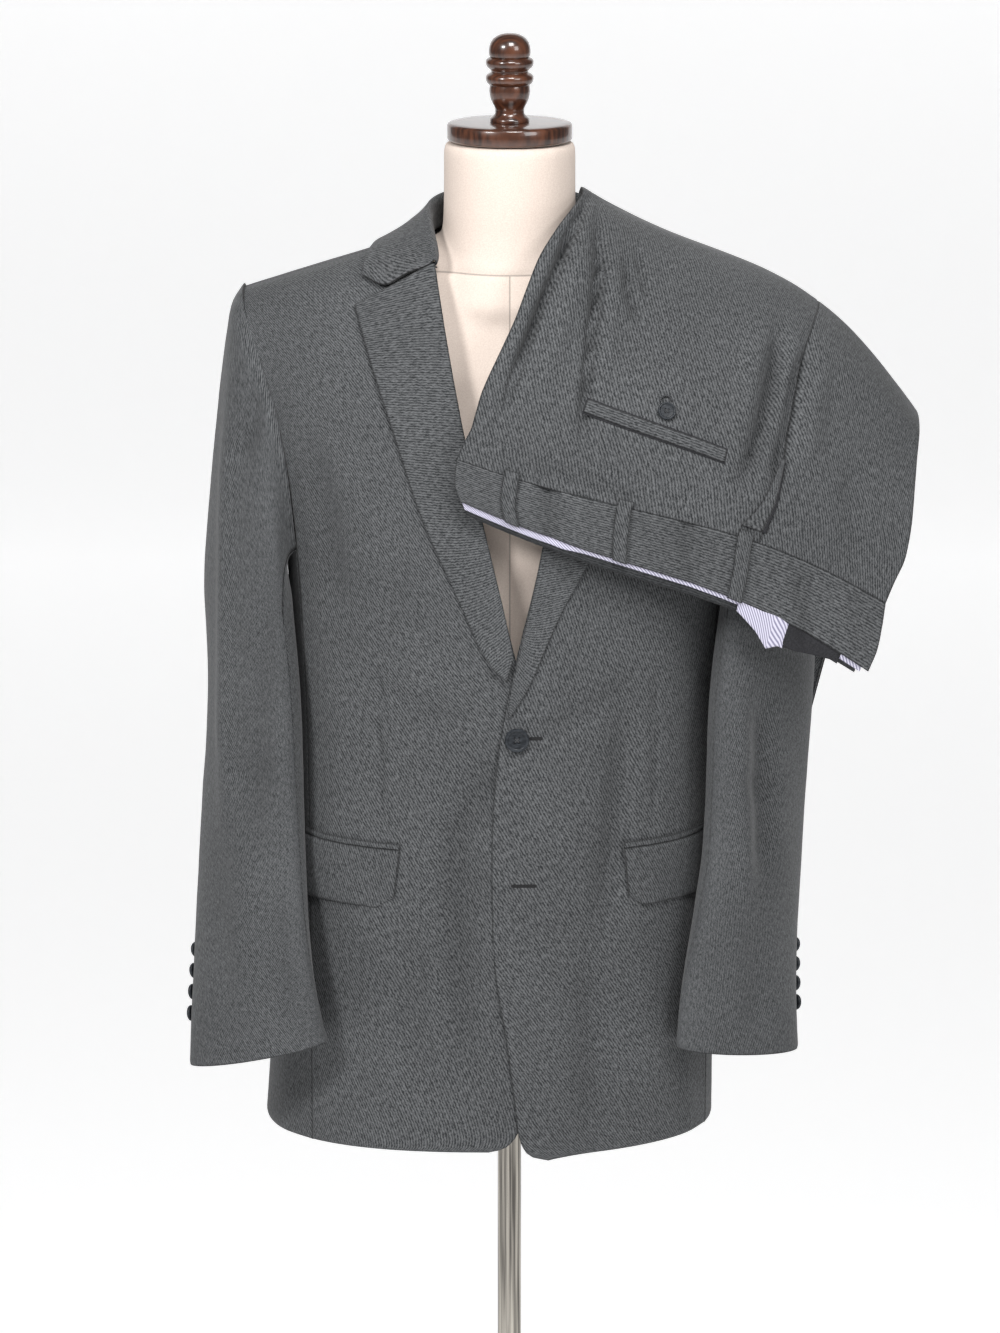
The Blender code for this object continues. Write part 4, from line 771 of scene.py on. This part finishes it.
def sew_button(node, name, radius, thick, away, tilt=45):
    """A drilled button in place of a CAD node, turned to lie as the node does."""
    at, axis = facing_of(node, away)
    dish = thick * 0.62
    obj = lathe(name, [
        (0.0, dish), (radius * 0.60, dish), (radius * 0.70, dish + 0.12 * MM), (radius * 0.78, thick * 0.94),
        (radius * 0.85, thick), (radius * 0.93, thick * 0.95), (radius * 0.985, thick * 0.74),
        (radius, thick * 0.5), (radius * 0.97, thick * 0.2), (radius * 0.90, 0.0), (0.0, 0.0),
    ], 64, [HORN, BUTTON_THREAD])
    drill = bmesh.new()
    spread, hole = radius * 0.25, radius * 0.105
    for i in range(4):
        turn = math.radians(tilt + 90 * i)
        put = Matrix.Translation((spread * math.cos(turn), spread * math.sin(turn), dish))
        bmesh.ops.create_cone(drill, cap_ends=True, segments=16, radius1=hole, radius2=hole,
                              depth=thick * 0.8, matrix=put)
    cutter = object_of(name + "_drill", drill, [HORN])
    cut = obj.modifiers.new("Holes", "BOOLEAN")
    cut.operation = "DIFFERENCE"
    cut.solver = "EXACT"
    cut.object = cutter
    bpy.context.view_layer.update()
    drilled = bpy.data.meshes.new_from_object(obj.evaluated_get(bpy.context.evaluated_depsgraph_get()))
    obj.modifiers.clear()
    bpy.data.objects.remove(cutter)
    bm = bmesh.new()
    bm.from_mesh(drilled)
    for i in range(2):
        turn = math.radians(tilt + 90 * i)
        made = bmesh.ops.create_uvsphere(bm, u_segments=12, v_segments=8, radius=1.0)["verts"]
        shape = Matrix.Translation((0, 0, dish + 0.16 * MM)) @ Matrix.Rotation(turn, 4, "Z")
        shape = shape @ Matrix.Diagonal((spread * 1.12, radius * 0.070, 0.30 * MM, 1))
        bmesh.ops.transform(bm, matrix=shape, verts=made)
        for face in {f for v in made for f in v.link_faces}:
            face.material_index = 1
    turn = Vector((0, 0, 1)).rotation_difference(axis).to_matrix().to_4x4()
    bmesh.ops.transform(bm, matrix=Matrix.Translation(at) @ turn, verts=bm.verts)
    bm.to_mesh(obj.data)
    bm.free()
    for polygon in obj.data.polygons:
        polygon.use_smooth = True
    obj.data.set_sharp_from_angle(angle=math.radians(35))
    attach(obj, "root")
    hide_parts(node)


sew_button("button_top", "top_front_button", FRONT_BUTTON, 3.4 * MM, (0, -1, 0))
sew_button("button_lower", "lower_front_button", FRONT_BUTTON, 2.2 * MM, (0, -1, 0))
sew_button("back_pocket_button", "button_of_back_pocket", POCKET_BUTTON, 2.6 * MM, (0, -1, 0))
for side, word in ((1, "left"), (-1, "right")):
    for i in range(1, 5):
        sew_button(f"cuff_button_{word}_{i}", f"button_{i}_of_{word}_cuff", CUFF_BUTTON, 2.6 * MM,
                   (side, 0.5, 0))


# The loop that holds the back pocket shut: a half ring of twisted thread, sewn into the cloth above
# the pocket's button, so that it can be pulled down over it.
LOOP_WIDE = 5.0 * MM
LOOP_THICK = 0.75 * MM
LOOP_UP = 8.5 * MM
LOOP_OUT = 0.9 * MM
pocket_button, out = facing_of("back_pocket_button", (0, -1, 0))
bm = bmesh.new()
bmesh.ops.create_circle(bm, segments=10, radius=LOOP_THICK, cap_ends=False,
                        matrix=Matrix.Translation((LOOP_WIDE, 0, 0)) @ Matrix.Rotation(math.pi / 2, 4, "X"))
bmesh.ops.spin(bm, geom=bm.verts[:] + bm.edges[:], cent=(0, 0, 0), axis=(0, 0, 1), angle=math.pi, steps=20)
bmesh.ops.holes_fill(bm, edges=bm.edges, sides=0)
bmesh.ops.recalc_face_normals(bm, faces=bm.faces)
stand_up = Vector((0, 0, 1)).rotation_difference(out).to_matrix().to_4x4()
up_axis = Vector((0, 0, 1)) - out * out.z
spot = pocket_button + up_axis.normalized() * LOOP_UP + out * LOOP_OUT
level = stand_up.inverted() @ up_axis
align = Matrix.Rotation(math.atan2(level.y, level.x) - math.pi / 2, 4, "Z")
bmesh.ops.transform(bm, matrix=Matrix.Translation(spot) @ stand_up @ align, verts=bm.verts)
loop = object_of("loop_of_back_pocket", bm, [BUTTON_THREAD])
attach(loop, "root")


# The form's padded torso and neck, covered in cream cotton that is drawn tight over the padding,
# with a seam down the centre front and one round the foot of the neck.
COVER = plain_material("cream_cover", (0.90, 0.85, 0.77), 0.85, more={"Sheen Weight": 0.08})
noise_colour(COVER, (0.70, 0.585, 0.51), (0.79, 0.68, 0.60), 900, bump=0.25)
NECK_SEAM_Z = 1.4755
NECK_ROUND = 0.090
FORM_FOOT = 0.83
SEAM_DEEP = 1.3 * MM
FORM_VOXEL = 3.5 * MM
tree = COVER.node_tree
spot = node_of(tree, "TexCoord")
split = node_of(tree, "SeparateXYZ")
link(tree, spot, "Object", split, "Vector")


def worked(operation, source, output, value=0.0):
    """A math node of the cover on one output and a number or another math node."""
    node = node_of(tree, "Math", operation=operation)
    link(tree, source, output, node, 0)
    if isinstance(value, float):
        node.inputs[1].default_value = value
    else:
        link(tree, value, "Value", node, 1)
    return node


level = worked("ABSOLUTE", worked("SUBTRACT", split, "Z", NECK_SEAM_Z), "Value")
centre = worked("ABSOLUTE", split, "X")
above = worked("GREATER_THAN", split, "Z", NECK_SEAM_Z)
behind = worked("GREATER_THAN", split, "Y")
off_centre = worked("MAXIMUM", worked("MAXIMUM", centre, "Value", above), "Value", behind)
nearest = worked("MINIMUM", level, "Value", off_centre)
stitched = node_of(tree, "MapRange", {"From Min": 0.2 * MM, "From Max": 1.0 * MM, "To Min": 0.55})
link(tree, nearest, "Value", stitched, "Value")
base = tree.nodes["Principled BSDF"].inputs["Base Color"]
tree.links.new(darkened(tree, base.links[0].from_socket, stitched.outputs["Result"]), base)
bm = bmesh.new()
bm.from_mesh(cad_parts["form_torso"].data)
bmesh.ops.remove_doubles(bm, verts=bm.verts, dist=0.05 * MM)
padding = object_of("form_cover", bm, [COVER])
remesh = padding.modifiers.new("Even", "REMESH")
remesh.mode = "VOXEL"
remesh.voxel_size = FORM_VOXEL
bpy.context.view_layer.update()
even = bpy.data.meshes.new_from_object(padding.evaluated_get(bpy.context.evaluated_depsgraph_get()))
padding.modifiers.clear()
bm = bmesh.new()
bm.from_mesh(even)
for _ in range(10):
    bmesh.ops.smooth_vert(bm, verts=bm.verts, factor=0.5, use_axis_x=True, use_axis_y=True, use_axis_z=True)
bm.normal_update()
for vert in bm.verts:
    at = vert.co
    groove = 0.0
    if at.y < 0 and FORM_FOOT < at.z < NECK_SEAM_Z:
        groove += math.exp(-((at.x / (2.2 * MM)) ** 2))
    if math.hypot(at.x, at.y) < NECK_ROUND:
        groove += math.exp(-(((at.z - NECK_SEAM_Z) / (2.4 * MM)) ** 2))
    vert.co = at - vert.normal * (SEAM_DEEP * groove + 0.2 * MM)
bm.to_mesh(padding.data)
bm.free()
for polygon in padding.data.polygons:
    polygon.use_smooth = True
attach(padding, "root")
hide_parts("form_torso")


# The cap on the neck and the finial above it, turned in hardwood, stained dark and varnished, so
# the grain shows through a glossy coat.
WOOD = plain_material("stained_wood", (0.075, 0.026, 0.014), 0.30, more={
    "Coat Weight": 0.9, "Coat Roughness": 0.07})
noise_colour(WOOD, (0.020, 0.0065, 0.0035), (0.115, 0.040, 0.019), 60, (1, 6, 0.9), detail=6.0, bump=0.12)
cap = lathe("neck_cap_of_wood", [
    (0.0, 1.6000), (0.0460, 1.6000), (0.0515, 1.5997), (0.0534, 1.5990), (0.0543, 1.5975), (0.0543, 1.5862),
    (0.0536, 1.5848), (0.0520, 1.5840), (0.0, 1.5840),
], 96, [WOOD])
finial = lathe("finial_of_wood", [
    (0.0, 1.6770), (0.0045, 1.6768), (0.0080, 1.6760), (0.0112, 1.6745), (0.0140, 1.6725),
    (0.0163, 1.6695), (0.0176, 1.6660), (0.0181, 1.6625), (0.0180, 1.6590), (0.0175, 1.6573),
    (0.0168, 1.6562), (0.0185, 1.6556), (0.0200, 1.6545), (0.0207, 1.6530), (0.0207, 1.6512),
    (0.0203, 1.6494), (0.0195, 1.6480), (0.0180, 1.6464), (0.0164, 1.6450), (0.0162, 1.6440),
    (0.0164, 1.6430), (0.0182, 1.6421), (0.0198, 1.6410), (0.0206, 1.6396), (0.0207, 1.6378),
    (0.0204, 1.6360), (0.0198, 1.6345), (0.0186, 1.6331), (0.0172, 1.6320), (0.0176, 1.6298),
    (0.0177, 1.6270), (0.0173, 1.6235), (0.0165, 1.6200), (0.0151, 1.6168), (0.0135, 1.6140),
    (0.0128, 1.6122), (0.0126, 1.6105), (0.0126, 1.6087), (0.0130, 1.6070), (0.0148, 1.6050),
    (0.0168, 1.6035), (0.0172, 1.6018), (0.0170, 1.6003), (0.0, 1.6003),
], 96, [WOOD])
for piece, node in ((cap, "neck_cap"), (finial, "finial")):
    piece.data.set_sharp_from_angle(angle=math.radians(50))
    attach(piece, "root")
    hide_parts(node)


# The stand below: a flange screwed to the form, a round pole and a heavy base, all nickel plated
# and polished along the pole. Dark streaks along the polish are painted reflections.
NICKEL_PAINTED_REFLECTIONS = plain_material("nickel", (0.62, 0.58, 0.52), 0.16, 1.0)
# The colour runs in long streaks from dark to light: polishing lines along the pole, made dark as painted
# reflections of a dark room.
noise_colour(NICKEL_PAINTED_REFLECTIONS, (0.095, 0.088, 0.080), (0.46, 0.43, 0.38), 330, (1, 1, 0.02), detail=2.0, bump=0.03)
FORM_UNDER = 0.8197
POLE_TOP = FORM_UNDER - 0.0303
POLE_ROUND = 0.0105
BASE_TOP = 0.0140
POLE_FOOT = BASE_TOP + 0.3 * MM
for name, node, steps, profile in (
    ("flange_of_pole", "pole_flange", 64, [
        (0.0, FORM_UNDER), (0.034, FORM_UNDER), (0.0354, FORM_UNDER - 0.0006), (0.036, FORM_UNDER - 0.002),
        (0.036, FORM_UNDER - 0.006), (0.030, FORM_UNDER - 0.0090), (0.020, FORM_UNDER - 0.0112),
        (0.0175, FORM_UNDER - 0.0140), (0.016, FORM_UNDER - 0.030), (0.0, FORM_UNDER - 0.030)]),
    ("pole_of_stand", "pole", 64, [
        (0.0, POLE_TOP), (POLE_ROUND, POLE_TOP), (POLE_ROUND, POLE_FOOT), (0.0, POLE_FOOT)]),
    ("base_of_stand", "base", 128, [
        (0.0, BASE_TOP), (0.030, BASE_TOP), (0.080, 0.0129), (0.120, 0.0116), (0.150, 0.0106),
        (0.157, 0.0094), (0.162, 0.0070), (0.1645, 0.0046), (0.165, 0.0028), (0.1646, 0.0010),
        (0.1635, 0.0), (0.0, 0.0)]),
):
    piece = lathe(name, profile, steps, [NICKEL_PAINTED_REFLECTIONS])
    piece.data.set_sharp_from_angle(angle=math.radians(40))
    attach(piece, "root")
    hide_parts(node)
